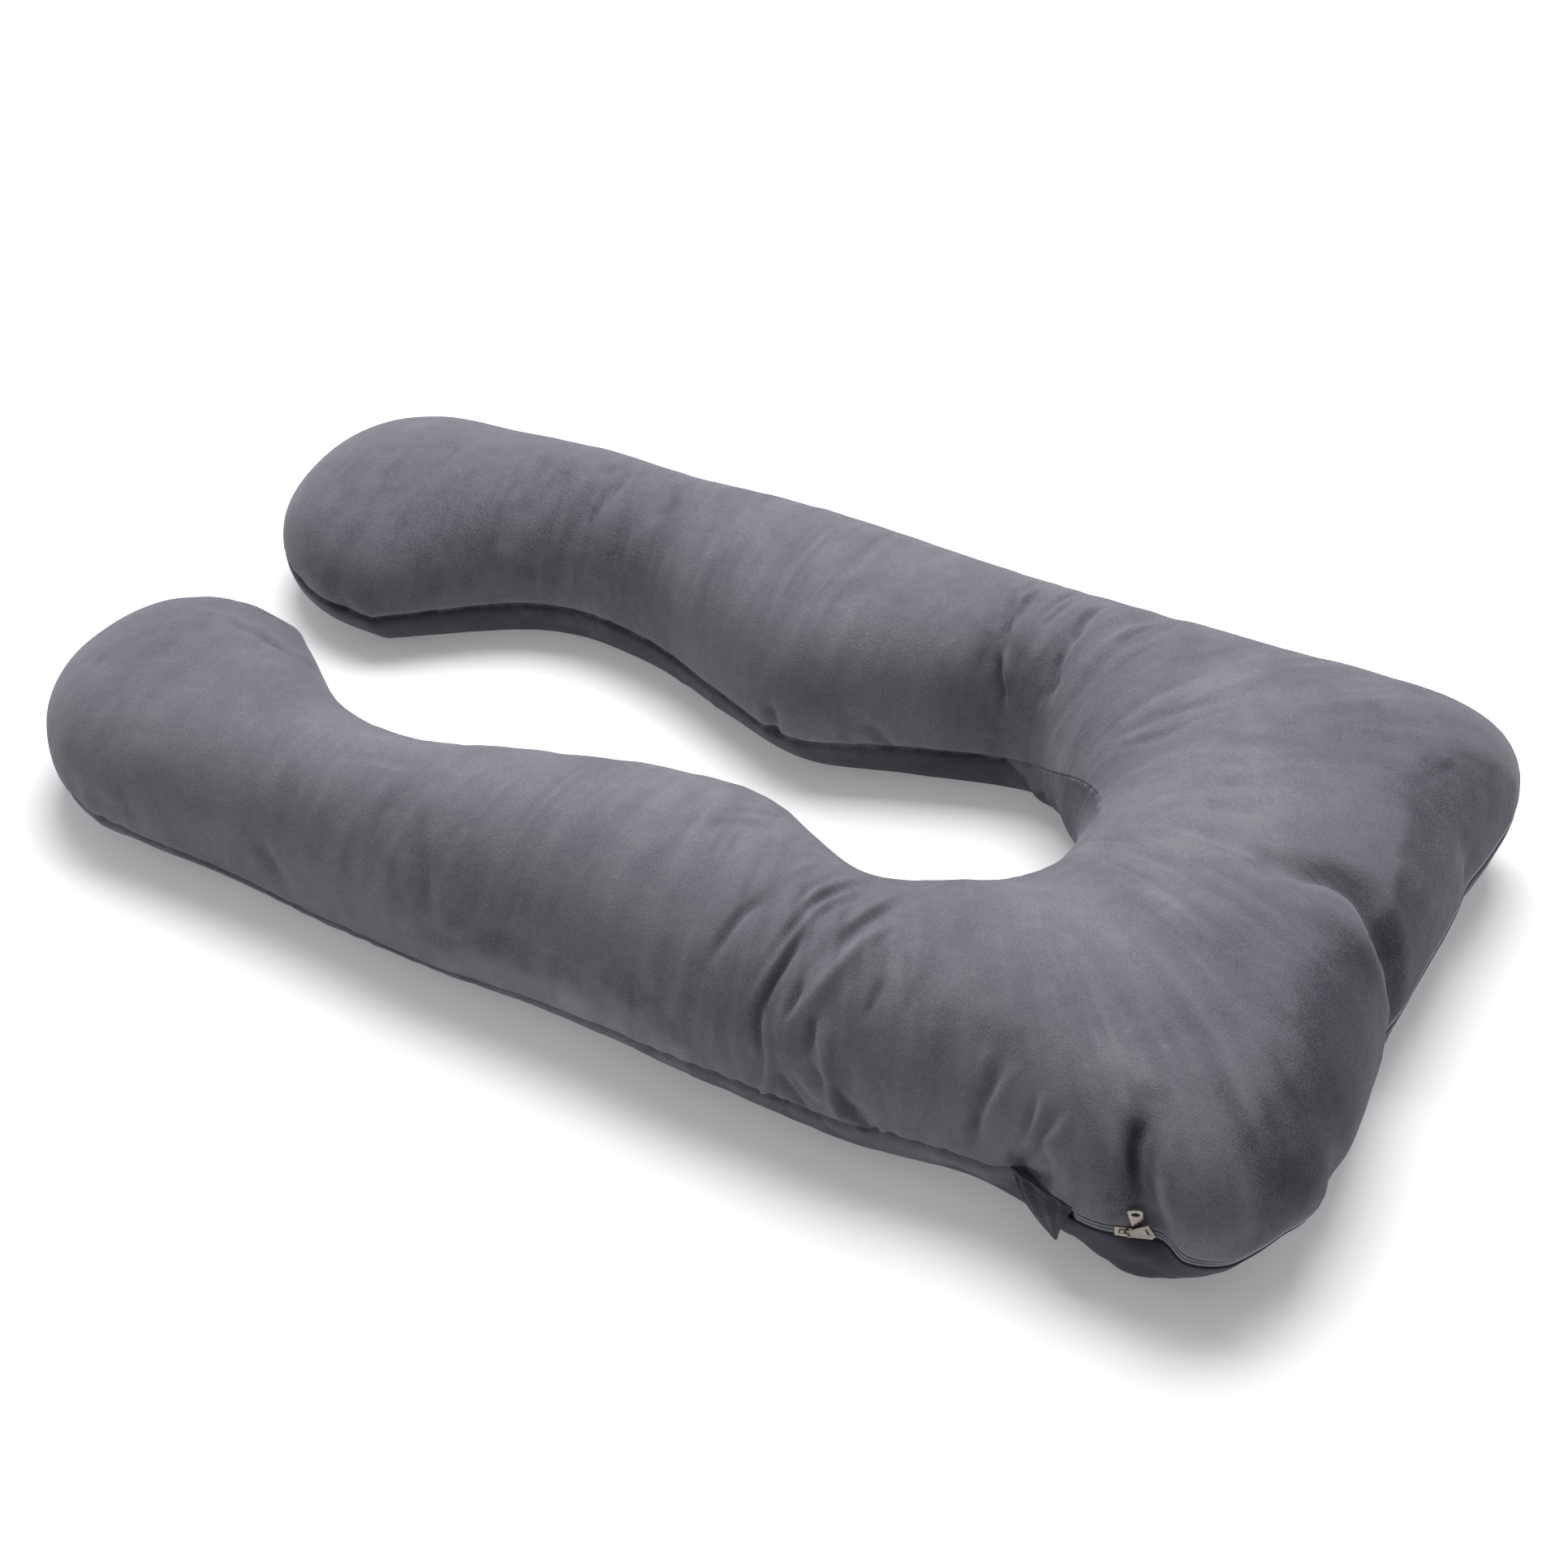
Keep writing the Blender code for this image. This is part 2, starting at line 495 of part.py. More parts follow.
def slider(name, frame, turned, finish):
    """A slider's plate with its two side walls, and the bridge on top that holds the pull."""
    wide, inner, half = SLIDER_HALF_WIDTH, SLIDER_INNER_HALF_WIDTH, SLIDER_LENGTH / 2
    channel = [
        (-wide, SLIDER_FOOT), (-wide, SLIDER_TOP), (wide, SLIDER_TOP), (wide, SLIDER_FOOT),
        (inner, SLIDER_FOOT), (inner, SLIDER_UNDER), (-inner, SLIDER_UNDER), (-inner, SLIDER_FOOT),
    ]
    mesh = extrude_outline(channel, -half, half)
    along_zip = Matrix(((0, 0, 1, 0), (1, 0, 0, 0), (0, 1, 0, 0), (0, 0, 0, 1)))
    bmesh.ops.transform(mesh, matrix=along_zip, verts=mesh.verts)
    tail = [vertex for vertex in mesh.verts if vertex.co.x < 0]
    bmesh.ops.scale(mesh, vec=(1, SLIDER_TAIL_SHARE, 1), verts=tail)
    if turned:
        bmesh.ops.rotate(mesh, matrix=Matrix.Rotation(math.pi, 3, "Z"), verts=mesh.verts)
    body = add_object(name, mesh, finish, frame)

    leg_in, leg_out, sunk = BRIDGE_LEG[0], BRIDGE_LEG[1], (SLIDER_UNDER + SLIDER_TOP) / 2
    corner = BRIDGE_CORNER
    right = [
        (leg_in, sunk), (leg_out, sunk), (leg_out, BRIDGE_TOP - corner), (leg_out - corner, BRIDGE_TOP),
    ]
    under = [(leg_in - corner / 2, BRIDGE_CLEAR), (leg_in, BRIDGE_CLEAR - corner / 2)]
    arch = right + [(-x, y) for x, y in right[::-1]] + [(-x, y) for x, y in under[::-1]] + under
    mesh = extrude_outline(arch, -BRIDGE_HALF_WIDTH, BRIDGE_HALF_WIDTH)
    upright = Matrix.Rotation(math.pi / 2, 3, "X")
    bmesh.ops.rotate(mesh, matrix=upright, verts=mesh.verts)
    boolean(body, add_object(name + "_bridge", mesh, finish, frame), "UNION")
    return body


def pull(name, frame, finish):
    """A flat pull, wider at its far end, with the eye that holds it to the bridge and an oval hole."""
    narrow, wide, corner = PULL_NARROW_HALF, PULL_WIDE_HALF, PULL_CORNER
    side = [
        (0, narrow - corner), (corner, narrow), (PULL_EYE[1], narrow + corner / 2),
        (PULL_LENGTH - corner, wide), (PULL_LENGTH, wide - corner),
    ]
    outline = [(x, -y) for x, y in side] + side[::-1]
    plate = add_object(name, extrude_outline(outline, 0, PULL_THICKNESS), finish, frame)

    over, eye_half = PULL_THICKNESS, PULL_EYE_HALF
    start, end = PULL_EYE
    eye = [(start, -eye_half), (end, -eye_half), (end, eye_half), (start, eye_half)]
    cutter = add_object(name + "_eye", extrude_outline(eye, -over, 2 * over), finish, frame)
    boolean(plate, cutter, "DIFFERENCE")
    turns = np.arange(16) * math.tau / 16
    long_half, short_half = PULL_HOLE
    oval = [(PULL_HOLE_AT + long_half * math.cos(turn), short_half * math.sin(turn)) for turn in turns]
    cutter = add_object(name + "_hole", extrude_outline(oval, -over, 2 * over), finish, frame)
    boolean(plate, cutter, "DIFFERENCE")
    return plate


def pull_frame(slider_at, leg, swing):
    """Frame of a pull whose eye goes round one leg of the bridge, turned and lifted by two angles."""
    turned, lifted = swing
    to_leg = Matrix.Translation((leg, 0, PULL_HEIGHT))
    turn = Matrix.Rotation(math.radians(turned), 4, "Z")
    to_bar = Matrix.Translation((-PULL_BAR_TO_LEG, 0, 0))
    return slider_at @ to_leg @ turn @ to_bar @ Matrix.Rotation(-math.radians(lifted), 4, "Y")


def centre_on_floor(shown):
    """Moves everything so that the origin is under the middle of the whole box, on the floor."""
    bpy.context.view_layer.update()
    graph = bpy.context.evaluated_depsgraph_get()
    corners = np.array([
        made.matrix_world @ vertex.co for made in shown for vertex in made.evaluated_get(graph).data.vertices
    ])
    low, high = corners.min(axis=0), corners.max(axis=0)
    shift = Matrix.Translation((-(low[0] + high[0]) / 2, -(low[1] + high[1]) / 2, -low[2]))
    for made in bpy.data.objects:
        made.matrix_world = shift @ made.matrix_world


def build():
    for existing in list(bpy.data.objects):
        bpy.data.objects.remove(existing)
    velvet = material("velvet", (0.125, 0.122, 0.150), 0.85, sheen=0.5)
    tape = material("zip_tape", (0.20, 0.20, 0.24), 0.8)
    coil = material("zip_coil", (0.42, 0.42, 0.46), 0.45)
    metal = material("gunmetal", (0.36, 0.33, 0.30), 0.32, metallic=1.0)

    rings, along, size, straight = folded_rings()
    frames = zip_frames(rings, straight)
    shown = [loft("cover", draw_in_seams(rings, along, size, frames), velvet)]
    for side, sign in (("upper", 1), ("lower", -1)):
        tape_edges = [sign * edge for edge in TAPE]
        teeth_edges = [sign * edge for edge in TEETH]
        shown.append(loft(f"zip_tape_{side}", zip_strip(frames, along, tape_edges, TAPE_LAYER), tape))
        shown.append(loft(f"zip_teeth_{side}", zip_strip(frames, along, teeth_edges, TEETH_LAYER), coil))

    middle = slider_frame(frames, straight)
    leg = (BRIDGE_LEG[0] + BRIDGE_LEG[1]) / 2
    near_slider = middle @ Matrix.Translation((-SLIDER_SPACING / 2, 0, 0))
    far_slider = middle @ Matrix.Translation((SLIDER_SPACING / 2, 0, 0))
    shown.append(slider("zip_slider_near", near_slider, False, metal))
    shown.append(slider("zip_slider_far", far_slider, True, metal))
    shown.append(pull("zip_pull_near", pull_frame(near_slider, leg, SWING_NEAR), metal))
    shown.append(pull("zip_pull_far", pull_frame(far_slider, -leg, SWING_FAR), metal))
    centre_on_floor(shown)


if __name__ == "__main__":
    build()
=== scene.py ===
"""A U-shaped body pillow in short-pile velvet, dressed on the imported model.

The cover is one stuffed form, lofted through the same named sections as the solid and then creased and
puckered by tables of folds. The coil zip, its sliders and its pulls follow the solid's own seam.
"""

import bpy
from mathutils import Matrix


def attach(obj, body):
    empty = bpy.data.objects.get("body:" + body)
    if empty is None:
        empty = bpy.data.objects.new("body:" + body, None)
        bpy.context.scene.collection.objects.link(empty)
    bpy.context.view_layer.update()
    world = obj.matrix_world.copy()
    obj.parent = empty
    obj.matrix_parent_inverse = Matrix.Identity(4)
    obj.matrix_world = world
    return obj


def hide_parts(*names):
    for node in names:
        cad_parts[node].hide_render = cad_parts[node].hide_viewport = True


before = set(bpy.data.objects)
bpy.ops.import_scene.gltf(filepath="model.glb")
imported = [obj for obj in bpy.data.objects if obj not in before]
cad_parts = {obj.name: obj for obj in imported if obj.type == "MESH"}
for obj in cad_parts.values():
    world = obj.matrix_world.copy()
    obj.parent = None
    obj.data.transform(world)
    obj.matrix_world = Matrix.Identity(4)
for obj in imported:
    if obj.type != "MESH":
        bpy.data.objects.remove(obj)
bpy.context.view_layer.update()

import math

import bmesh
import bpy
import numpy as np
from mathutils import Matrix, Vector

# ---- Sizes shared with the solid, metres --------------------------------------------------------------

WIDEST_AT = 0.43        # a section is widest at this share of its crown height
ROUNDNESS = 2.25        # exponent of a section's superellipse; 2 would be an ellipse
SAG = 0.020             # how far the stuffing would hang below the floor if the floor let it
FOOT_ROUNDNESS = 2.3    # exponent that rounds off the two feet

# One row for each section, from the near foot round the closed end to the far foot. The inner and outer
# points are where the section is widest, in plan. The crown and the seams are heights above the floor.
SECTIONS = {
    #                 inner_x inner_y outer_x outer_y crown  inner_seam outer_seam
    "near foot":     (-0.515, -0.060, -0.560, -0.370, 0.172, 0.056, 0.045),
    "near calf":     (-0.375, -0.158, -0.400, -0.362, 0.180, 0.056, 0.029),
    "near knee":     (-0.255, -0.178, -0.270, -0.366, 0.190, 0.055, 0.027),
    "near thigh":    (-0.115, -0.132, -0.140, -0.374, 0.203, 0.055, 0.030),
    "near belly":    (-0.010, -0.097, -0.010, -0.372, 0.211, 0.055, 0.042),
    "near waist":    (0.088, -0.085, 0.130, -0.376, 0.213, 0.056, 0.054),
    "near shoulder": (0.226, -0.142, 0.310, -0.373, 0.213, 0.056, 0.058),
    "near haunch":   (0.309, -0.095, 0.465, -0.358, 0.212, 0.056, 0.065),
    "near corner":   (0.335, -0.052, 0.684, -0.377, 0.209, 0.080, 0.071),
    "near cheek":    (0.353, -0.027, 0.745, -0.210, 0.210, 0.125, 0.054),
    "head":          (0.360, 0.000, 0.718, -0.002, 0.213, 0.160, 0.071),
    "far cheek":     (0.358, 0.034, 0.708, 0.205, 0.216, 0.154, 0.084),
    "far corner":    (0.343, 0.074, 0.681, 0.387, 0.220, 0.143, 0.082),
    "far haunch":    (0.308, 0.114, 0.460, 0.394, 0.211, 0.122, 0.070),
    "far shoulder":  (0.230, 0.181, 0.290, 0.378, 0.204, 0.064, 0.058),
    "far waist":     (0.095, 0.136, 0.145, 0.382, 0.202, 0.060, 0.052),
    "far belly":     (-0.002, 0.096, 0.010, 0.385, 0.202, 0.057, 0.049),
    "far thigh":     (-0.100, 0.122, -0.126, 0.386, 0.196, 0.058, 0.048),
    "far knee":      (-0.240, 0.168, -0.275, 0.368, 0.187, 0.058, 0.048),
    "far calf":      (-0.370, 0.160, -0.404, 0.379, 0.176, 0.058, 0.048),
    "far foot":      (-0.510, 0.046, -0.558, 0.385, 0.162, 0.058, 0.049),
}
NEAR_TIP = (-0.702, -0.172)
FAR_TIP = (-0.712, 0.198)

# A place on the cloth is (along, across). Along runs in metres down the middle of the pillow from the tip
# of the near foot. Across is 0 on the outer seam and 1 on the inner seam, over the upper panel. Below 0 and
# above 1 it goes down the lower panel from that seam.
SEAM_DEPTH = 0.005      # how far the sewn seam draws the cloth in
SEAM_LIP = 0.0065       # the cloth starts to roll into the seam this far from it
ZIP_FROM = 1.176        # the zip shows from here
ZIP_TO = 1.795
ZIP_RECESS = 0.0044     # depth of the channel that holds the zip
ZIP_LIP = 0.0100
ZIP_RUN_OUT = 0.012     # the channel closes up over this length past each end of the zip
SLIDER_SECTIONS = (7.604, 7.764)        # both sliders sit on the straight stretch between these two sections
# Where the outer seam rises on the cloth: by how much, over what length each side, and where along.
SEAM_RISES = {"behind the sliders": (0.008, 0.050, 1.205)}

# Folds: how deep, how wide each side, and the places that it runs through. A ridge has a depth below 0.
FOLDS = {
    "hollow behind the sliders": (0.015, 0.055, ((1.205, 0.07), (1.212, 0.00), (1.212, -0.05))),
    "crease above the sliders": (0.016, 0.026, ((1.228, 0.25), (1.213, 0.16), (1.208, 0.08), (1.209, 0.02))),
    "pinch in the seam": (0.016, 0.030, ((1.146, 0.08), (1.137, 0.02), (1.134, -0.04), (1.134, -0.12))),
    "flap of the lower panel": (-0.016, 0.018, ((1.153, -0.05), (1.166, -0.10), (1.171, -0.14))),
    "sag under the sliders": (-0.009, 0.034, ((1.205, -0.17), (1.235, -0.15))),
    "tuck before the pinch": (0.007, 0.030, ((1.085, -0.12), (1.120, -0.14))),
    "swell at the near corner": (-0.008, 0.055, ((1.318, 0.11), (1.322, 0.00), (1.320, -0.11))),
    "fold left of the pinch": (0.007, 0.020, ((1.133, 0.27), (1.116, 0.18), (1.110, 0.10), (1.107, 0.02))),
    "valley across the head": (
        0.015, 0.026,
        ((1.462, 0.53), (1.479, 0.42), (1.481, 0.33), (1.470, 0.24), (1.460, 0.13), (1.457, 0.00)),
    ),
    "roll below the valley": (-0.006, 0.024, ((1.440, 0.45), (1.448, 0.35), (1.446, 0.23))),
    "notch at the far cheek": (0.008, 0.026, ((1.578, 0.12), (1.576, 0.00), (1.576, -0.07))),
    "notch at the near cheek": (0.007, 0.024, ((1.338, 0.09), (1.336, 0.00), (1.336, -0.05))),
    "long crease": (
        0.013, 0.022,
        ((0.998, 0.59), (0.976, 0.53), (0.964, 0.46), (0.950, 0.38), (0.934, 0.27), (0.930, 0.08)),
    ),
    "sweep before the belly": (0.007, 0.022, ((0.920, 0.46), (0.900, 0.41), (0.886, 0.34), (0.872, 0.24))),
    "sweep at the haunch": (0.009, 0.020, ((1.045, 0.57), (1.020, 0.51), (1.000, 0.45), (0.982, 0.37))),
    "ridge at the haunch": (
        -0.010, 0.020, ((1.034, 0.46), (1.008, 0.40), (0.986, 0.33), (0.966, 0.25), (0.947, 0.15))
    ),
    "wedge under the ridge": (0.011, 0.020, ((0.982, 0.27), (0.974, 0.19), (0.962, 0.10))),
    "ridge to the seam": (-0.007, 0.018, ((0.982, 0.22), (0.992, 0.12), (0.998, 0.04))),
    "crease at the haunch": (0.014, 0.022, ((0.994, 0.17), (1.006, 0.09), (1.022, 0.04), (1.036, 0.00))),
    "trough past the haunch": (0.006, 0.022, ((1.100, 0.49), (1.086, 0.42), (1.070, 0.34), (1.055, 0.24))),
    "far waist crease": (0.012, 0.020, ((2.064, 0.50), (2.036, 0.61), (2.016, 0.71))),
    "far waist second crease": (0.012, 0.020, ((2.030, 0.67), (2.016, 0.74), (1.996, 0.87))),
    "far shoulder crease": (0.010, 0.020, ((1.984, 0.42), (1.970, 0.54), (1.958, 0.66), (1.944, 0.78))),
    "far haunch crease": (0.006, 0.020, ((1.924, 0.35), (1.927, 0.47), (1.924, 0.57))),
    "swell under the far haunch": (-0.010, 0.036, ((1.955, 1.13), (1.915, 1.15))),
    "far foot tuck": (0.010, 0.018, ((2.812, 0.89), (2.808, 0.95), (2.803, 1.00))),
    "far belly tuck": (0.009, 0.018, ((2.250, 0.90), (2.247, 0.96), (2.246, 1.00))),
    "far calf crease": (0.007, 0.020, ((2.548, 0.50), (2.556, 0.62), (2.563, 0.76))),
    "near knee crease": (0.007, 0.020, ((0.540, 0.48), (0.532, 0.42), (0.546, 0.34), (0.566, 0.28))),
    "near knee tuck": (0.009, 0.020, ((0.578, 0.29), (0.592, 0.22), (0.603, 0.14))),
    "near calf crease": (0.006, 0.020, ((0.378, 0.22), (0.394, 0.16), (0.404, 0.10))),
    "near foot pucker": (0.012, 0.024, ((0.105, 0.68), (0.136, 0.72), (0.172, 0.74), (0.212, 0.77))),
    "head pleat, far": (0.005, 0.020, ((1.800, 0.87), (1.766, 0.81), (1.750, 0.67))),
    "head pleat, middle": (0.005, 0.020, ((1.660, 0.80), (1.652, 0.72), (1.638, 0.59))),
    "head pleat, near": (0.004, 0.020, ((1.575, 0.75), (1.565, 0.66), (1.562, 0.56))),
}

# ---- Dressing: finer folds on top of the main ones ----------------------------------------------------

CENTRE = (0.01589, 0.01227, 0.0)        # the frame's origin, in the plan that the sections are drawn in

# How much of each of the solid's folds the fine cloth keeps, where its own creases don't stand in for them.
WHOLE_FOLDS = (
    "hollow behind the sliders", "crease above the sliders", "pinch in the seam", "sag under the sliders",
    "tuck before the pinch", "swell at the near corner", "valley across the head", "roll below the valley",
    "notch at the far cheek", "notch at the near cheek", "swell under the far haunch",
)
FOLD_SHARE = 0.45
FAINT_FOLDS = ("head pleat, far", "head pleat, middle", "head pleat, near", "flap of the lower panel")
FAINT_SHARE = 0.15

# Creases in the cloth: depth, half width, how sharp the bottom is from 0 to 1, the places, and where one
# side is steeper how much, above 0 on the left and below 0 on the right of the way that the places run.
CREASES = {
    "near corner": (
        (0.0040, 0.0090, 0.2, (
            (1.128, 0.24), (1.119, 0.20), (1.115, 0.17), (1.109, 0.13), (1.107, 0.09), (1.105, 0.05),
        )),
        (0.0040, 0.0085, 0.36, ((1.160, 0.06), (1.148, 0.03), (1.137, 0.01))),
        (0.0130, 0.0090, 0.38, (
            (1.225, 0.23), (1.219, 0.21), (1.213, 0.19), (1.209, 0.17), (1.206, 0.15), (1.203, 0.12),
            (1.202, 0.08),
        ), 0.24),
        (-0.0050, 0.0065, 0, (
            (1.227, 0.23), (1.221, 0.21), (1.216, 0.19), (1.210, 0.16), (1.207, 0.13), (1.206, 0.10),
            (1.208, 0.07),
        )),
    ),
    "head": (
        (0.0099, 0.0119, 0.41, ((1.460, 0.51), (1.479, 0.42), (1.482, 0.33), (1.478, 0.27)), 0.24),
        (0.0075, 0.011, 0.36, ((1.466, 0.28), (1.463, 0.22), (1.457, 0.13), (1.457, 0.00))),
        (-0.0048, 0.0119, 0, ((1.454, 0.50), (1.466, 0.46), (1.468, 0.39), (1.468, 0.30), (1.458, 0.23))),
        (0.0034, 0.0075, 0.36, ((1.470, 0.34), (1.473, 0.29), (1.476, 0.27))),
        (0.0075, 0.0119, 0.32, ((1.581, 0.10), (1.576, 0.00))),
        (0.0027, 0.0093, 0.32, ((1.814, 0.88), (1.771, 0.85), (1.762, 0.78), (1.750, 0.71), (1.750, 0.64))),
        (0.0022, 0.0085, 0.32, ((1.768, 0.91), (1.720, 0.85), (1.716, 0.80), (1.726, 0.75))),
        (0.0022, 0.0093, 0.32, ((1.660, 0.80), (1.654, 0.73), (1.645, 0.65), (1.635, 0.56))),
        (0.0014, 0.0085, 0.32, ((1.578, 0.74), (1.563, 0.65), (1.563, 0.59))),
        (0.0023, 0.0076, 0.27, ((1.473, 0.70), (1.485, 0.62), (1.485, 0.56))),
        (0.0034, 0.0076, 0.27, ((1.466, 0.62), (1.473, 0.58), (1.470, 0.53))),
        (0.0023, 0.0075, 0.27, ((1.507, 0.58), (1.510, 0.53))),
        (0.0036, 0.0060, 0.1, ((1.611, 0.34), (1.631, 0.31), (1.645, 0.27))),
        (0.0030, 0.0055, 0.1, ((1.601, 0.31), (1.623, 0.28), (1.639, 0.23))),
        (-0.0026, 0.0055, 0.0, ((1.607, 0.33), (1.627, 0.295), (1.643, 0.25))),
        (0.0014, 0.0075, 0.27, ((1.622, 0.37), (1.638, 0.34), (1.651, 0.33))),
        (-0.0006, 0.0102, 0, ((1.700, 0.78), (1.710, 0.72), (1.713, 0.66))),
        (-0.0006, 0.0102, 0, ((1.513, 0.90), (1.541, 0.78), (1.556, 0.69))),
        (0.0068, 0.0136, 0.27, ((1.338, 0.08), (1.336, 0.00))),
    ),
    "near haunch": (
        (0.0057, 0.0070, 0.2, ((0.914, 0.46), (0.900, 0.41), (0.887, 0.365), (0.878, 0.31), (0.868, 0.23))),
        (0.0043, 0.0055, 0.1, ((0.976, 0.59), (0.960, 0.55), (0.947, 0.51), (0.938, 0.465), (0.930, 0.42))),
        (0.0057, 0.0060, 0.2, (
            (0.994, 0.60), (0.976, 0.545), (0.958, 0.49), (0.948, 0.43), (0.937, 0.37), (0.930, 0.32),
        )),
        (0.0043, 0.0050, 0.1, ((1.008, 0.58), (0.990, 0.53), (0.976, 0.50), (0.960, 0.445))),
        (0.0078, 0.0070, 0.2, (
            (0.968, 0.42), (0.953, 0.39), (0.944, 0.345), (0.936, 0.295), (0.929, 0.25), (0.925, 0.20),
            (0.926, 0.16), (0.931, 0.11), (0.933, 0.07),
        )),
        (0.0060, 0.0070, 0.2, (
            (1.046, 0.58), (1.030, 0.545), (1.014, 0.50), (1.000, 0.45), (0.991, 0.405), (0.982, 0.36),
        )),
        (0.0034, 0.0060, 0.1, ((1.041, 0.48), (1.027, 0.435), (1.015, 0.39))),
        (0.0050, 0.0065, 0.2, ((0.964, 0.31), (0.961, 0.275), (0.955, 0.24), (0.947, 0.205))),
        (0.0065, 0.0060, 0.2, ((0.977, 0.265), (0.975, 0.22), (0.973, 0.18), (0.968, 0.145))),
        (0.0038, 0.0065, 0.1, ((1.034, 0.36), (1.026, 0.31), (1.016, 0.25))),
        (0.0019, 0.0070, 0.0, ((1.064, 0.38), (1.056, 0.31), (1.052, 0.27))),
        (0.0054, 0.0065, 0.1, ((0.970, 0.155), (0.980, 0.13), (0.987, 0.11), (0.991, 0.08))),
        (0.0078, 0.0065, 0.2, ((0.994, 0.125), (0.998, 0.09), (1.005, 0.06), (1.013, 0.04), (1.022, 0.01))),
        (0.0065, 0.0080, 0.1, ((0.944, 0.095), (0.952, 0.07), (0.959, 0.05), (0.968, 0.02))),
        (-0.0065, 0.0055, 0.1, (
            (1.014, 0.61), (0.985, 0.55), (0.966, 0.49), (0.954, 0.45), (0.946, 0.40), (0.938, 0.345),
            (0.931, 0.30), (0.922, 0.245), (0.913, 0.20), (0.900, 0.165),
        )),
        (-0.0043, 0.0065, 0.0, (
            (1.008, 0.65), (0.980, 0.585), (0.956, 0.52), (0.944, 0.46), (0.938, 0.42),
        )),
        (-0.0027, 0.0055, 0.0, ((0.961, 0.62), (0.933, 0.56), (0.915, 0.495), (0.902, 0.45))),
        (-0.0034, 0.0085, 0.0, ((1.038, 0.58), (1.012, 0.52), (0.992, 0.46), (0.977, 0.40))),
        (-0.0054, 0.0065, 0.1, (
            (1.040, 0.49), (1.013, 0.43), (0.997, 0.37), (0.982, 0.31), (0.970, 0.26), (0.961, 0.22),
            (0.952, 0.175), (0.945, 0.145),
        )),
        (-0.0068, 0.0060, 0.1, (
            (0.926, 0.225), (0.932, 0.18), (0.938, 0.14), (0.940, 0.10), (0.938, 0.06), (0.934, 0.02),
        )),
        (-0.0068, 0.0060, 0.1, (
            (0.978, 0.265), (0.982, 0.215), (0.988, 0.17), (0.991, 0.13), (0.996, 0.08), (1.004, 0.03),
        )),
        (-0.0061, 0.0050, 0.1, (
            (0.956, 0.115), (0.967, 0.10), (0.979, 0.08), (0.988, 0.055), (0.992, 0.045),
        )),
        (-0.0043, 0.0050, 0.1, (
            (0.997, 0.13), (1.002, 0.10), (1.012, 0.08), (1.026, 0.065), (1.038, 0.01),
        )),
        (0.0019, 0.0060, 0.0, ((1.005, 0.18), (1.008, 0.155), (1.016, 0.125), (1.030, 0.11))),
        # towards the pinch
        (-0.0045, 0.0065, 0.0, (
            (1.142, 0.25), (1.132, 0.22), (1.126, 0.19), (1.120, 0.16), (1.113, 0.11), (1.110, 0.06),
        )),
        (-0.0030, 0.0065, 0.0, ((1.124, 0.25), (1.114, 0.23), (1.110, 0.20), (1.106, 0.17))),
        (0.0024, 0.0060, 0.0, ((1.108, 0.13), (1.106, 0.09), (1.104, 0.04))),
        (0.0062, 0.0055, 0.1, (
            (1.150, 0.21), (1.147, 0.18), (1.144, 0.15), (1.139, 0.12), (1.135, 0.08), (1.131, 0.06),
            (1.130, 0.02),
        )),
        (-0.0056, 0.0055, 0.0, (
            (1.163, 0.23), (1.156, 0.20), (1.151, 0.18), (1.147, 0.15), (1.144, 0.13), (1.138, 0.10),
            (1.133, 0.05),
        )),
        (0.0080, 0.0052, 0.1, (
            (1.175, 0.21), (1.168, 0.19), (1.161, 0.17), (1.155, 0.15), (1.150, 0.13), (1.145, 0.10),
            (1.137, 0.06), (1.133, 0.02),
        )),
        (-0.0056, 0.0055, 0.0, (
            (1.178, 0.20), (1.169, 0.18), (1.162, 0.16), (1.156, 0.14), (1.150, 0.11), (1.142, 0.08),
        )),
        (0.0041, 0.0060, 0.1, ((1.133, 0.00), (1.141, 0.02), (1.149, 0.04), (1.158, 0.05))),
        (-0.0027, 0.0090, 0.0, ((1.173, 0.12), (1.168, 0.09), (1.165, 0.05))),
        # towards the belly
        (0.0034, 0.0075, 0.36, ((0.804, 0.49), (0.832, 0.55), (0.864, 0.59), (0.896, 0.62))),
        (0.0034, 0.0075, 0.36, ((0.816, 0.57), (0.848, 0.62), (0.876, 0.67))),
        (0.0075, 0.0119, 0.27, ((0.804, 0.75), (0.840, 0.74), (0.876, 0.72))),
        (0.0012, 0.0070, 0.0, ((0.823, 0.35), (0.821, 0.31), (0.822, 0.28))),
    ),
    "near knee and foot": (
        (0.0054, 0.0076, 0.32, ((0.118, 0.13), (0.127, 0.07), (0.127, 0.00))),
        (0.0068, 0.0076, 0.32, ((0.146, 0.14), (0.146, 0.08), (0.136, 0.00))),
        (0.0068, 0.0076, 0.32, ((0.174, 0.12), (0.178, 0.07), (0.178, 0.00))),
        (0.0054, 0.0076, 0.32, ((0.191, 0.11), (0.199, 0.06), (0.203, 0.00))),
        (0.0054, 0.0076, 0.32, ((0.199, 0.17), (0.212, 0.13), (0.220, 0.04))),
        (0.0060, 0.0070, 0.1, (
            (0.150, 0.645), (0.173, 0.67), (0.184, 0.68), (0.197, 0.70), (0.215, 0.725),
        )),
        (-0.0035, 0.0060, 0.0, ((0.168, 0.675), (0.189, 0.70), (0.203, 0.73), (0.226, 0.745))),
        (0.0054, 0.0085, 0.32, ((0.170, 0.68), (0.208, 0.71), (0.241, 0.75), (0.249, 0.85))),
        (0.006, 0.0075, 0.36, ((0.374, 0.21), (0.390, 0.15), (0.402, 0.10))),
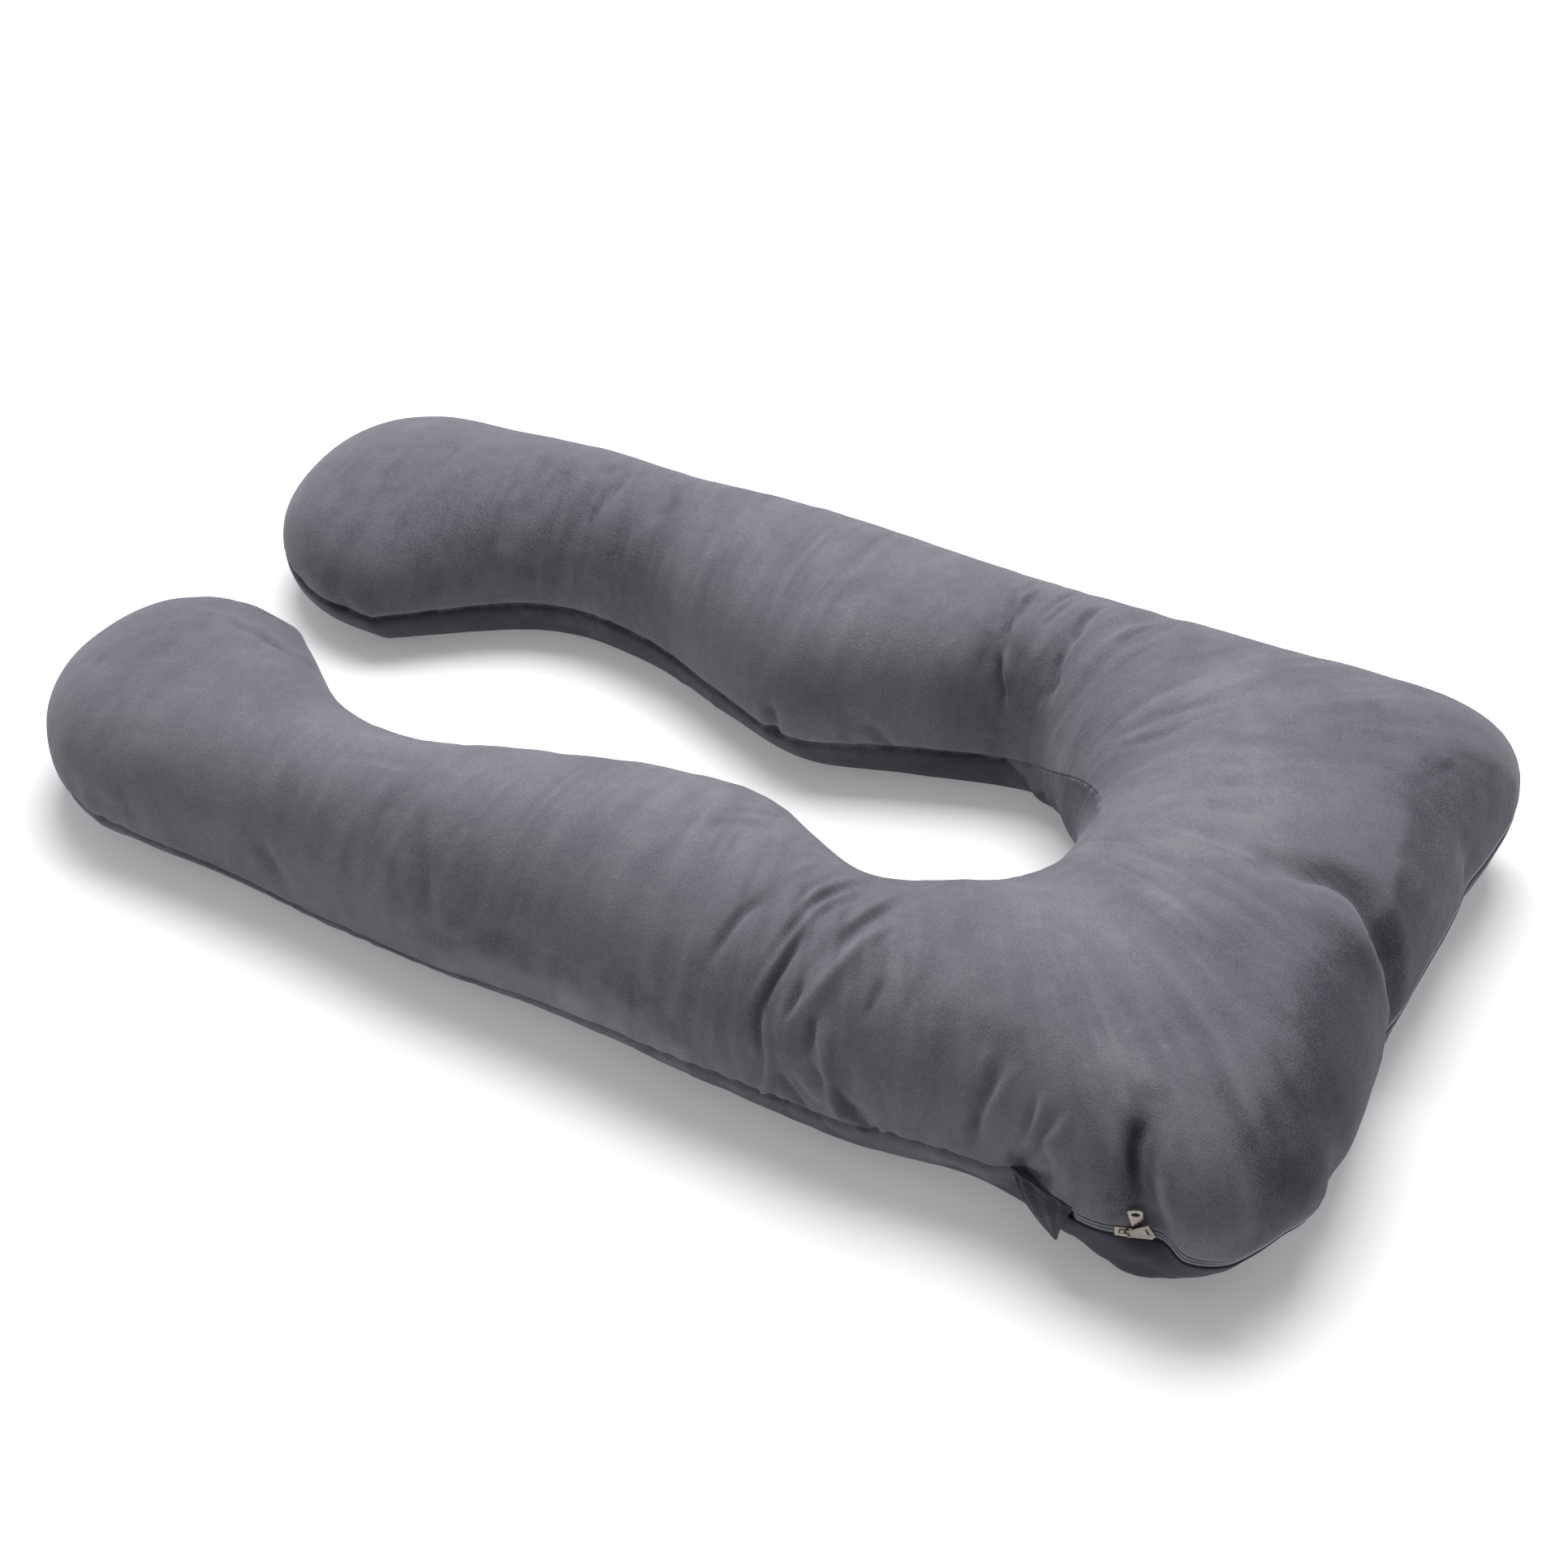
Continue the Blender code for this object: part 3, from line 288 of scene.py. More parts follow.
        (0.0016, 0.0075, 0.32, ((0.417, 0.49), (0.437, 0.51), (0.458, 0.52), (0.493, 0.52), (0.538, 0.53))),
        (0.0055, 0.0065, 0.2, (
            (0.534, 0.46), (0.556, 0.38), (0.578, 0.30), (0.589, 0.26), (0.595, 0.21), (0.600, 0.17),
        )),
        (-0.0035, 0.0065, 0.0, (
            (0.545, 0.33), (0.558, 0.28), (0.572, 0.24), (0.584, 0.20), (0.594, 0.165), (0.604, 0.13),
        )),
        (-0.0035, 0.0060, 0.0, (
            (0.583, 0.30), (0.593, 0.265), (0.603, 0.225), (0.609, 0.17), (0.612, 0.13),
        )),
        (-0.0020, 0.0065, 0.0, ((0.543, 0.24), (0.553, 0.19), (0.562, 0.155), (0.567, 0.11))),
        (0.0020, 0.0070, 0.0, ((0.541, 0.32), (0.547, 0.28), (0.557, 0.22))),
        (0.0022, 0.0050, 0.0, ((0.589, 0.10), (0.613, 0.11), (0.631, 0.13), (0.652, 0.15), (0.670, 0.15))),
        (-0.0018, 0.0060, 0.0, ((0.621, 0.14), (0.634, 0.157), (0.648, 0.17))),
        (0.0018, 0.0055, 0.0, ((0.621, 0.17), (0.633, 0.18), (0.645, 0.195))),
        (0.0016, 0.0050, 0.0, ((0.729, 0.15), (0.732, 0.12), (0.734, 0.08))),
        (-0.0014, 0.0055, 0.0, ((0.731, 0.22), (0.736, 0.19), (0.741, 0.15))),
        (-0.0014, 0.0055, 0.0, ((0.759, 0.17), (0.765, 0.14), (0.772, 0.11))),
        (-0.0026, 0.0065, 0.0, ((0.810, 0.13), (0.817, 0.10), (0.826, 0.075), (0.840, 0.055))),
    ),
    "far leg": (
        (0.0087, 0.0085, 0.36, ((2.250, 0.92), (2.246, 0.95), (2.246, 1.00)), 0.24),
        (0.0054, 0.0076, 0.32, ((2.152, 0.88), (2.148, 0.93), (2.144, 0.98))),
        (0.0054, 0.0085, 0.32, ((2.129, 0.92), (2.101, 0.99))),
        (0.0023, 0.0085, 0.27, ((2.203, 0.55), (2.191, 0.64))),
        (0.0087, 0.0076, 0.41, ((2.812, 0.91), (2.812, 0.96), (2.802, 1.00)), 0.24),
        (0.0054, 0.0076, 0.32, ((2.867, 0.91), (2.875, 0.96), (2.875, 1.00))),
        (-0.0036, 0.0119, 0, ((2.649, 0.80), (2.620, 0.88))),
        (0.0045, 0.0060, 0.1, ((2.065, 0.39), (2.055, 0.44), (2.048, 0.49))),
        (0.0085, 0.0065, 0.2, (
            (2.064, 0.45), (2.051, 0.51), (2.038, 0.56), (2.026, 0.615), (2.014, 0.67), (2.005, 0.72),
        )),
        (-0.0050, 0.0055, 0.1, ((2.055, 0.46), (2.037, 0.55), (2.022, 0.61), (2.010, 0.66), (2.001, 0.71))),
        (0.0050, 0.0060, 0.1, ((2.049, 0.41), (2.039, 0.47), (2.031, 0.54), (2.022, 0.595), (2.011, 0.64))),
        (-0.0035, 0.0050, 0.0, ((2.051, 0.42), (2.044, 0.48), (2.040, 0.53))),
        (0.0085, 0.0065, 0.2, ((2.027, 0.645), (2.013, 0.71), (2.004, 0.76), (1.995, 0.80), (1.987, 0.87))),
        (-0.0045, 0.0055, 0.1, ((2.017, 0.67), (2.004, 0.72), (1.995, 0.755), (1.988, 0.80))),
        (0.0050, 0.0065, 0.1, ((2.014, 0.37), (2.013, 0.44), (2.009, 0.50), (2.003, 0.58))),
        (-0.0045, 0.0045, 0.1, ((2.006, 0.39), (2.006, 0.46), (2.003, 0.53), (1.998, 0.59))),
        (0.0035, 0.0060, 0.1, ((1.998, 0.46), (1.997, 0.53), (1.993, 0.60))),
        (0.0080, 0.0070, 0.2, ((1.974, 0.42), (1.972, 0.49), (1.964, 0.56), (1.955, 0.60), (1.946, 0.65))),
        (-0.0040, 0.0060, 0.1, ((1.965, 0.46), (1.957, 0.55), (1.948, 0.62), (1.943, 0.69))),
        (0.0065, 0.0065, 0.2, ((1.957, 0.63), (1.952, 0.69), (1.941, 0.745), (1.936, 0.80))),
        (-0.0032, 0.0055, 0.0, ((1.917, 0.46), (1.923, 0.51), (1.921, 0.58), (1.918, 0.62))),
        (0.0045, 0.0060, 0.1, ((1.909, 0.45), (1.912, 0.51), (1.912, 0.56), (1.908, 0.61))),
        (0.0022, 0.0060, 0.0, ((1.999, 0.66), (1.986, 0.72), (1.977, 0.76), (1.966, 0.81))),
        (0.0015, 0.0060, 0.0, ((1.994, 0.73), (1.986, 0.78), (1.977, 0.84))),
        (0.0040, 0.0060, 0.1, ((2.554, 0.63), (2.557, 0.68), (2.555, 0.74))),
        (-0.0025, 0.0055, 0.0, ((2.549, 0.63), (2.551, 0.69), (2.550, 0.75))),
        (0.0045, 0.0060, 0.1, ((2.539, 0.50), (2.541, 0.56), (2.544, 0.62), (2.543, 0.68))),
        (-0.0025, 0.0055, 0.0, ((2.532, 0.51), (2.534, 0.57), (2.539, 0.63), (2.538, 0.68))),
        (0.0035, 0.0060, 0.1, ((2.566, 0.46), (2.566, 0.50), (2.568, 0.54))),
        (0.0045, 0.0060, 0.1, ((2.492, 0.40), (2.499, 0.45), (2.504, 0.50))),
        (0.0035, 0.0055, 0.1, ((2.452, 0.50), (2.465, 0.565), (2.477, 0.61), (2.489, 0.66))),
        (-0.0018, 0.0060, 0.0, ((2.456, 0.59), (2.471, 0.64), (2.482, 0.68))),
        (-0.0014, 0.0060, 0.0, ((2.454, 0.67), (2.465, 0.71), (2.480, 0.78))),
    ),
}

# Gathers along the sewn seams, laid out by a seeded draw: how far apart, how deep, how wide and how long.
GATHER_SEED = 7
GATHER_SPACING = (0.014, 0.034)
GATHER_DEPTH = (0.0006, 0.0018)
GATHER_HALF_WIDTH = (0.005, 0.009)
GATHER_REACH = (0.05, 0.16)
GATHER_LEAN = 0.016
GATHER_SHARPNESS = 0.5
GATHER_ENDS = 0.04              # the first and the last lie this far from the pillow's tips
PLAIN_INNER = (1.20, 2.40)      # the inner seam has no gathers along here

CREASE_SHADE_AND_HIGHLIGHT = 70.0       # painted shade in a trough and painted highlight on a ridge, by this much a metre of depth
# limits of that painted shade and painted highlight
CREASE_SHADE_AND_HIGHLIGHT_RANGE = (-0.40, 0.45)
FOLD_FADE = 0.45        # a fold of the solid keeps this share of its depth at its two ends
SHOULDER_SHARE = 0.22   # how far the cloth swells beside a crease, as a share of its depth
STEEP_SHARE = 0.35      # and more on a steep side
SHOULDER_AT = 1.25      # where that swelling is highest, in half widths
END_FADE = 0.35         # a crease fades in over this share of its length, but for an end on a seam
ON_SEAM = 0.03          # an end this near a seam, as a share of the panel, counts as on it
FLOOR_FADE = 0.012      # creases fade out over this height above the floor

ATTACH_RUN_OUT = 0.050  # past the zip's ends the cloth leaves the solid's seam over this length
ATTACH_NEAR = 0.014     # cloth this near the zip moves with it
ATTACH_FAR = 0.070      # and cloth this far from it stays
CREASE_FREE = 0.005     # no crease runs nearer to the zip
CREASE_RETURN = 0.022   # and over this much more it is back at its full depth

# Drag lines and lumps: height, distance between them along the pillow, length across it, and how they lean.
RIPPLE_SEED = 11
CROWDED = 1.6           # how soon drag lines fade where the cloth is gathered up tight
LUMPS = (0.16, 0.18)    # drag lines come in patches of about this length and width
RIPPLES = (
    (0.0022, 0.110, 0.120, 0.0),
    (0.0010, 0.034, 0.200, 0.15),
    (0.0007, 0.016, 0.130, 0.25),
    (0.0005, 0.011, 0.070, -0.20),
)

# Where the pile lies darker, below 0, or lighter, above 0: how much, how soft the edge, and the corners of
# the patch. Some patches are brushed pile; the lower panel, the crease above the sliders and the right slope
# of the closed end carry painted shade. Here a place across the lower panel is a share of the upper panel's
# length.
NAP_AND_SHADE = (
    # ragged dark bands low on the near leg, lighter below them
    (-0.34, 0.0072, (
        (0.640, 0.150), (0.655, 0.170), (0.675, 0.170), (0.695, 0.175), (0.712, 0.165), (0.735, 0.145),
        (0.745, 0.120), (0.726, 0.100), (0.694, 0.100), (0.665, 0.120), (0.645, 0.130),
    )),
    (-0.44, 0.008, (
        (0.770, 0.150), (0.782, 0.180), (0.805, 0.175), (0.825, 0.155), (0.842, 0.140), (0.858, 0.110),
        (0.855, 0.065), (0.842, 0.058), (0.832, 0.085), (0.822, 0.115), (0.812, 0.090), (0.795, 0.095),
        (0.780, 0.115),
    )),
    (0.35, 0.014, (
        (0.600, 0.100), (0.655, 0.100), (0.700, 0.085), (0.757, 0.070), (0.740, -0.030), (0.652, 0.000),
        (0.595, 0.020),
    )),
    (0.35, 0.014, (
        (0.730, 0.090), (0.790, 0.075), (0.825, 0.060), (0.861, 0.040), (0.841, -0.020), (0.737, 0.000),
    )),
    # the right slope of the closed end: brushed dark pile, deepened with painted shade where the slope faces
    # away from the light
    (-0.60, 0.0095, (
        (1.645, 0.27), (1.628, 0.315), (1.602, 0.345), (1.569, 0.32), (1.533, 0.29), (1.503, 0.27),
        (1.483, 0.25), (1.470, 0.00), (1.600, -0.10), (1.650, -0.10), (1.655, 0.10),
    )),
    (-0.10, 0.050, (
        (1.655, 0.33), (1.603, 0.33), (1.500, 0.28), (1.500, 0.00), (1.600, -0.10), (1.720, -0.10),
        (1.730, 0.12), (1.700, 0.26),
    )),
    (-1.15, 0.050, (
        (1.480, 0.30), (1.440, 0.33), (1.395, 0.34), (1.353, 0.31), (1.315, 0.24), (1.290, 0.14),
        (1.280, 0.04), (1.400, 0.02), (1.480, 0.02),
    )),
    (-0.30, 0.030, (
        (1.160, 0.24), (1.195, 0.24), (1.212, 0.16), (1.212, 0.01), (1.176, 0.01), (1.160, 0.10),
    )),
    # the crease above the sliders: painted shade down the crease, and a lighter patch above it
    (-0.60, 0.0070, (
        (1.226, 0.23), (1.218, 0.21), (1.211, 0.18), (1.207, 0.14), (1.204, 0.10), (1.205, 0.07),
        (1.196, 0.04), (1.196, 0.06), (1.197, 0.09), (1.198, 0.12), (1.202, 0.15), (1.210, 0.19),
        (1.219, 0.22),
    )),
    (0.45, 0.016, ((1.205, 0.34), (1.225, 0.34), (1.236, 0.28), (1.212, 0.26))),
    # painted shade on the lower panel under the sliders, and along both insides, where it faces down under
    # the upper panel
    (-2.60, 0.003, ((1.120, -0.004), (1.300, -0.004), (1.300, -0.60), (1.120, -0.60))),
    (-1.10, 0.003, ((0.300, 1.004), (0.900, 1.004), (1.150, 1.004), (1.150, 2.20), (0.300, 2.20))),
    (-1.10, 0.003, (
        (1.983, 1.004), (2.200, 1.004), (2.950, 1.004), (2.950, 2.20), (1.700, 2.20), (1.780, 1.14),
        (1.820, 1.13), (1.876, 1.115), (1.939, 1.08), (1.967, 1.03),
    )),
    (-1.20, 0.004, (
        (1.983, 1.004), (1.900, 1.004), (1.700, 1.004), (1.480, 1.004), (1.520, 1.06), (1.640, 1.14),
        (1.780, 1.14), (1.820, 1.13), (1.876, 1.115), (1.939, 1.08), (1.967, 1.03),
    )),
    (-0.45, 0.003, ((0.100, -0.004), (1.120, -0.004), (1.120, -0.80), (0.100, -0.80))),
    (-0.50, 0.045, ((0.800, -0.06), (1.120, -0.06), (1.120, -0.80), (0.800, -0.80))),
    # feet
    (-0.55, 0.035, (
        (0.110, 0.79), (0.168, 0.80), (0.210, 0.80), (0.246, 0.82), (0.250, 1.10), (0.110, 1.10),
    )),
    (-0.35, 0.080, ((2.440, 0.50), (2.900, 0.50), (2.900, 1.00), (2.440, 1.00))),
    # lighter patches on the far waist, the near corner, the near leg and the closed end, and a darker one at
    # the near corner
    (0.30, 0.050, ((2.050, 0.66), (2.200, 0.66), (2.200, 0.96), (2.050, 0.96))),
    (-0.45, 0.060, ((1.245, 0.24), (1.310, 0.24), (1.310, 0.10), (1.240, 0.10))),
    (0.30, 0.030, ((1.235, 0.12), (1.270, 0.12), (1.270, 0.03), (1.235, 0.03))),
    (0.32, 0.060, ((1.140, 0.50), (1.300, 0.50), (1.300, 0.80), (1.140, 0.80))),
    (0.30, 0.050, (
        (0.330, 0.50), (0.550, 0.46), (0.780, 0.44), (0.900, 0.56), (0.900, 0.80), (0.400, 0.90),
    )),
    (0.35, 0.060, (
        (1.380, 0.97), (1.600, 0.90), (1.800, 0.80), (1.820, 0.55), (1.500, 0.55), (1.350, 0.66),
    )),
)
PANEL_LENGTH = 0.48     # about how far it is over the upper panel from seam to seam
NAP_SEED = 5
FRAYED = 0.007          # a patch with an edge sharper than this frays less
SHARP = 0.0045          # one sharper than this ends on a seam, and runs out slowly along it
PATCH_RUN_OUT = 0.15    # over this length at each end,
PATCH_RUN_SHARE = 0.4   # or this share of a short patch
FRAYS = ((0.007, 0.006, 0.035), (0.007, 0.018, 0.050))          # frayed edges: reach, width, length
STREAKS = ((0.22, 0.007, 0.060), (0.16, 0.018, 0.110))          # streaks: weight, width, length
STREAKED = (0.14, 0.16)         # streaks come in patches of about this length and width

# ---- Dressing: fineness and seams ---------------------------------------------------------------------

FINE_BODY_STATIONS = 630        # rings between the two feet
FINE_FOOT_STATIONS = 26         # more rings on each rounded foot
CLOSENESS = (           # how close together the rings are, at these section numbers
    (0.0, 0.75), (1.8, 0.80), (2.2, 1.05), (3.0, 1.05), (3.6, 0.80), (4.8, 0.80), (5.3, 2.60), (7.0, 2.60),
    (8.1, 2.10), (8.5, 0.72), (12.5, 0.72), (13.2, 1.20), (13.6, 2.20), (14.9, 2.20), (15.3, 0.90),
    (17.6, 0.80), (18.0, 1.20), (18.8, 1.20), (19.2, 0.75), (20.0, 0.70),
)
FINE_UPPER_COLUMNS = 92         # points of a ring on the upper panel, between the seams' rolled edges
FINE_SIDE_COLUMNS = 9           # on each side of the lower panel
FINE_FLOOR_COLUMNS = 4          # and across the flat underside

# How deep the inner seam lies, along the pillow: it is only a fine line at the closed end.
INNER_SEAM_SHARE = ((1.15, 1.0), (1.28, 0.0), (1.92, 0.0), (2.00, 1.0))
FINE_SEAM = ((0.0, 0.0012), (0.24, 0.0))        # that line: distances from it, and shares of the full depth

# The cloth's edge at the outer seam. Each row is a distance from the seam and the share of the full depth,
# first where the seam is sewn and then where the zip is.
EDGE = (
    # sewn: distance, depth   zip: distance, depth
    (0.0000, 1.00, 0.0000, 1.00),
    (0.0010, 0.86, 0.0042, 1.00),
    (0.0020, 0.66, 0.0084, 1.00),
    (0.0032, 0.45, 0.0087, 0.43),
    (0.0046, 0.26, 0.0052, 0.37),
    (0.0068, 0.11, 0.0049, 0.10),
    (0.0100, 0.02, 0.0082, -0.10),
    (0.0140, 0.00, 0.0150, 0.00),
)
EDGES = np.array(EDGE)
FINE_INNER_SEAM = 2 * len(EDGE) + FINE_UPPER_COLUMNS - 1

# ---- Dressing: the zip and the flap -------------------------------------------------------------------

ZIP_TUCK = 0.012        # the tapes run on this far past each end of the shown zip
TUCKED_DEPTH = 0.007    # and sink this deep into the seam
TUCKED_OVER = 0.016     # over this length
STRIP_EDGES = (0.0030, 0.0083)          # a tape's two edges, from the middle of the zip
STRIP_LAYER = (-0.0034, -0.0022)        # its two faces, from the zip line
STRIP_ROUNDING = 0.35   # share of its thickness that its upper edges are rounded off by
STRIP_STEP = 0.003
COIL_INSET = 0.002      # the coil stops this far before the tapes' ends
TOOTH_PITCH = 0.00150
TOOTH_HALF = (0.00155, 0.00060, 0.00125)        # half sizes of one turn of the coil: across, along and out
TOOTH_AT = (0.00175, -0.0016)                   # its middle: across from the zip's middle, and out
TOOTH_FINENESS = 2      # subdivisions of the ball it starts from

# A pointed fold of the lower panel that hangs out of the seam, just before the zip.
FLAP_SEAM = (1.131, 1.170)      # it runs along this stretch of the seam
FLAP_TIP = (0.026, -0.022, -0.023)      # its point, from the middle of that stretch
FLAP_UP = (0.000, 0.0065)       # how far above the seam line it starts, at each end
FLAP_OUT = (-0.002, 0.0015)     # and how far out
FLAP_THICK = (0.0045, 0.0016)   # half its thickness at the seam and at the point
FLAP_BULGE = (0.006, 0.002)     # how far its left and right edges bow out
FLAP_ROWS = 40
FLAP_COLUMNS = 48
FLAP_ROOT = -0.12       # it starts this share of its length inside the cover
FLAP_EDGE = 0.0012      # half the width of its point
FLAP_SQUARE = 0.8       # below 1 its edges are thicker than an ellipse's
FLAP_PLEATS = (0.25, 9, 5)      # fine pleats: how deep, how many round it, and how far they turn
FLAP_SAG = 0.005        # how far its middle hangs out
# painted shade on the flap, matching the painted shade of the lower panel it belongs to
FLAP_SHADE = -0.8

# ---- Looks --------------------------------------------------------------------------------------------

# The darkest colour is for dark-brushed pile and painted shade, the lightest for light-brushed pile and
# painted highlight.
VELVET_DARK_AND_SHADED = (0.030, 0.029, 0.039)
VELVET = (0.128, 0.125, 0.144)
VELVET_BRUSHED_AND_LIT = (0.205, 0.201, 0.221)
VELVET_SHEEN = (0.70, 0.70, 0.78, 1.0)
VELVET_PATTERNS = {
    # scale, detail, roughness, distortion, how much it lightens and darkens the pile
    "drift": (9.0, 4.0, 0.62, 0.5, 1.1),
    "strokes": (42.0, 3.0, 0.6, 0.3, 0.6),
    "grain": (640.0, 1.0, 0.6, 0.0, 1.45),
    "pile": (1500.0, 1.0, 0.6, 0.0, 1.0),
}
VELVET_RELIEF = {"strokes": (0.4, 0.0020), "grain": (0.55, 0.0010), "pile": (0.5, 0.0006)}
VELVET_LIMITS = ((-1.28, 0.1), (-0.1, 1.0))     # from dark velvet and painted shade to plain velvet, and from plain to brushed velvet and painted highlight

# Each plain finish has a pair of colours, the grain between them (scale, detail, roughness), and a relief
# (strength, depth in metres).
TAPE_COLORS = (0.10, 0.10, 0.125), (0.19, 0.19, 0.225)
TAPE_GRAIN = (1900.0, 1.0, 0.5)
TAPE_RELIEF = (0.5, 0.0003)
COIL_COLORS = (0.24, 0.24, 0.27), (0.40, 0.40, 0.43)
COIL_GRAIN = (300.0, 3.0, 0.6)
COIL_RELIEF = (0.15, 0.0002)
METAL_COLORS = (0.21, 0.185, 0.165), (0.44, 0.40, 0.365)
METAL_GRAIN = (260.0, 4.0, 0.65)
METAL_RELIEF = (0.12, 0.0002)
METAL_WEAR = (0.3, 0.7, 0.22, 0.42)     # the grain's limits, and the roughness at each
FLOOR_COLORS = (0.80, 0.80, 0.80), (0.83, 0.83, 0.83)
FLOOR_GRAIN = (9.0, 3.0, 0.5)
FLOOR_GLOW = 0.2        # keeps the shadow under the pillow pale
FLOOR_SIZE = 14.0       # half its side
FLOOR_DROP = 0.0005     # it lies this far below the pillow

VIEW_AZIMUTH, VIEW_ELEVATION, VIEW_DISTANCE = 30.7, 39.0, 3.31
VIEW_TARGET = (0.048, -0.002, 0.090)    # in the sections' plan
LENS = 74.5
LIGHTS = {
    # place, target, size, power
    "overhead": ((-0.5, 1.2, 3.0), (0.0, 0.0, 0.0), (3.0, 2.2), 170),
    "window": ((-2.8, -1.8, 1.8), (0.0, 0.0, 0.1), (1.6, 1.4), 4),
}
SKY_COLOR = (0.95, 0.97, 1.0, 1.0)
SKY_STRENGTH = 0.33

# ---- Fineness of the solid, which the zip line follows ------------------------------------------------

BODY_STATIONS = 98      # sections between the two feet
FOOT_STATIONS = 7       # more sections on each rounded foot
UPPER_COLUMNS = 15      # points across the upper panel, between its two seams
SIDE_COLUMNS = 2        # points on each side of the lower panel, between seam and floor
FLOOR_COLUMNS = 3       # points across the flat underside
FRAME_SMOOTHING = 3     # passes that even out how the zip's channel is turned
OUTLINE_STEPS = 400     # steps for measuring along the pillow
CURVE_STEPS = 60        # steps for measuring round a section
PATH_STEPS = 4          # points of a crease's path for each place that it is drawn through
SEAM_LIMIT = 0.98       # a seam stays above this share of the way from the widest point to the sagged base
TOUCH_LIMIT = 0.97      # and so does the edge of the flat underside
WELD = 1e-6
TINY = 1e-9             # keeps divisions by a length or a height of nothing safe
SECTION_MARGIN = 0.05   # no other section comes this near the sliders' straight stretch


def eased(share):
    """A share from 0 to 1 that starts and stops softly."""
    share = np.clip(share, 0, 1)
    return share * share * (3 - 2 * share)


def smooth_rows(table, places):
    """Catmull-Rom through the rows of a table, at fractional row numbers."""
    last = len(table) - 1
    places = np.clip(places, 0, last - TINY)
    row = places.astype(int)
    share = (places - row)[:, None]
    here, after = table[row], table[row + 1]
    before = np.where((row == 0)[:, None], 2 * here - after, table[np.maximum(row - 1, 0)])
    beyond = np.where((row + 2 > last)[:, None], 2 * after - here, table[np.minimum(row + 2, last)])
    return 0.5 * (
        2 * here
        + (after - before) * share
        + (2 * before - 5 * here + 4 * after - beyond) * share**2
        + (3 * here - before - 3 * after + beyond) * share**3
    )


def running_length(points):
    """Distance along a row of points, starting at 0."""
    steps = np.linalg.norm(np.diff(points, axis=0), axis=1)
    return np.concatenate([[0.0], np.cumsum(steps)])


def foot_sections(end, tip, count):
    """Sections that shrink from the tip of a foot up to, but not onto, the end section of a leg."""
    angles = np.linspace(math.pi / 2, 0, count, endpoint=False)
    sections = []
    for angle in angles:
        size = math.cos(angle) ** (2 / FOOT_ROUNDNESS)
        reach = math.sin(angle) ** (2 / FOOT_ROUNDNESS)
        middle = (end[0:2] + end[2:4]) / 2
        half = (end[2:4] - end[0:2]) / 2 * size
        middle = middle + (np.array(tip) - middle) * reach
        sections.append(np.concatenate([middle - half, middle + half, end[4:7], [size]]))
    return sections


def stations(body_count, foot_count, straight_stretch=True, closeness=((0, 1),)):
    """All sections from tip to tip, the distance along for each, and where the straight stretch starts.

    A section has the table's columns and then its size, which is 1 but for the feet. The sliders sit on
    the straight stretch, from the section with the number given to the next."""
    table = np.array(list(SECTIONS.values()))
    places = np.linspace(0, len(table) - 1, OUTLINE_STEPS)
    rows = smooth_rows(table, places)
    middles = (rows[:, 0:2] + rows[:, 2:4]) / 2
    length = (running_length(middles) + running_length(rows[:, 2:4])) / 2
    closeness = np.array(closeness)
    length = np.cumsum(np.gradient(length) * np.interp(places, closeness[:, 0], closeness[:, 1]))
    length -= length[0]
    places = np.interp(np.linspace(0, length[-1], body_count), length, places)
    first, last = SLIDER_SECTIONS
    if straight_stretch:
        outside = (places < first - SECTION_MARGIN) | (places > last + SECTION_MARGIN)
        places = np.sort(np.concatenate([places[outside], SLIDER_SECTIONS]))
    body = smooth_rows(table, places)
    body = np.column_stack([body, np.ones(len(body))])
    near = foot_sections(body[0], NEAR_TIP, foot_count)
    far = foot_sections(body[-1], FAR_TIP, foot_count)
    sections = np.array(near + list(body) + far[::-1])
    along = running_length((sections[:, 0:2] + sections[:, 2:4]) / 2)
    for rise, half_length, at in SEAM_RISES.values():
        sections[:, 6] += rise * np.maximum(1 - ((along - at) / half_length) ** 2, 0) ** 2
    return sections, along, foot_count + int(np.argmin(np.abs(places - first)))


def profile(section, angles):
    """Points of one section. 0 is its outer side, a quarter turn the crown, a half turn the inner side."""
    inner, outer, crown, size = section[0:2], section[2:4], section[4], section[7]
    widest = WIDEST_AT * crown
    power = 2 / ROUNDNESS
    across = np.sign(np.cos(angles)) * np.abs(np.cos(angles)) ** power
    rise = np.sign(np.sin(angles)) * np.abs(np.sin(angles)) ** power * size
    height = np.where(rise > 0, widest + (crown - widest) * rise, widest + (widest + SAG) * rise)
    plan = (inner + outer) / 2 + (outer - inner) / 2 * across[:, None]
    return np.column_stack([plan, np.maximum(height, 0.0)])


def drop_angle(section, height):
    """How far round from the section's widest point its side has dropped to a height."""
    widest = WIDEST_AT * section[4]
    share = np.clip((widest - height) / (widest + SAG), -SEAM_LIMIT, SEAM_LIMIT)
    return np.sign(share) * math.asin(abs(share) ** (ROUNDNESS / 2))


def seam_angles(section):
    """Where round the section the outer seam and the inner seam lie."""
    return -drop_angle(section, section[6]), math.pi + drop_angle(section, section[5])


def touch_angles(section):
    """Where round the section its inner and its outer side come down onto the floor."""
    widest = WIDEST_AT * section[4]
    share = min(widest / ((widest + SAG) * max(section[7], WELD)), TOUCH_LIMIT)
    drop = math.asin(share ** (ROUNDNESS / 2))
    return math.pi + drop, 2 * math.pi - drop


def measured_curve(section, first, last):
    """Closely spaced angles between two angles, and the distance to each along the full-size section."""
    fine = np.linspace(first, last, CURVE_STEPS)
    full_size = section.copy()
    full_size[7] = 1.0
    return fine, running_length(profile(full_size, fine))


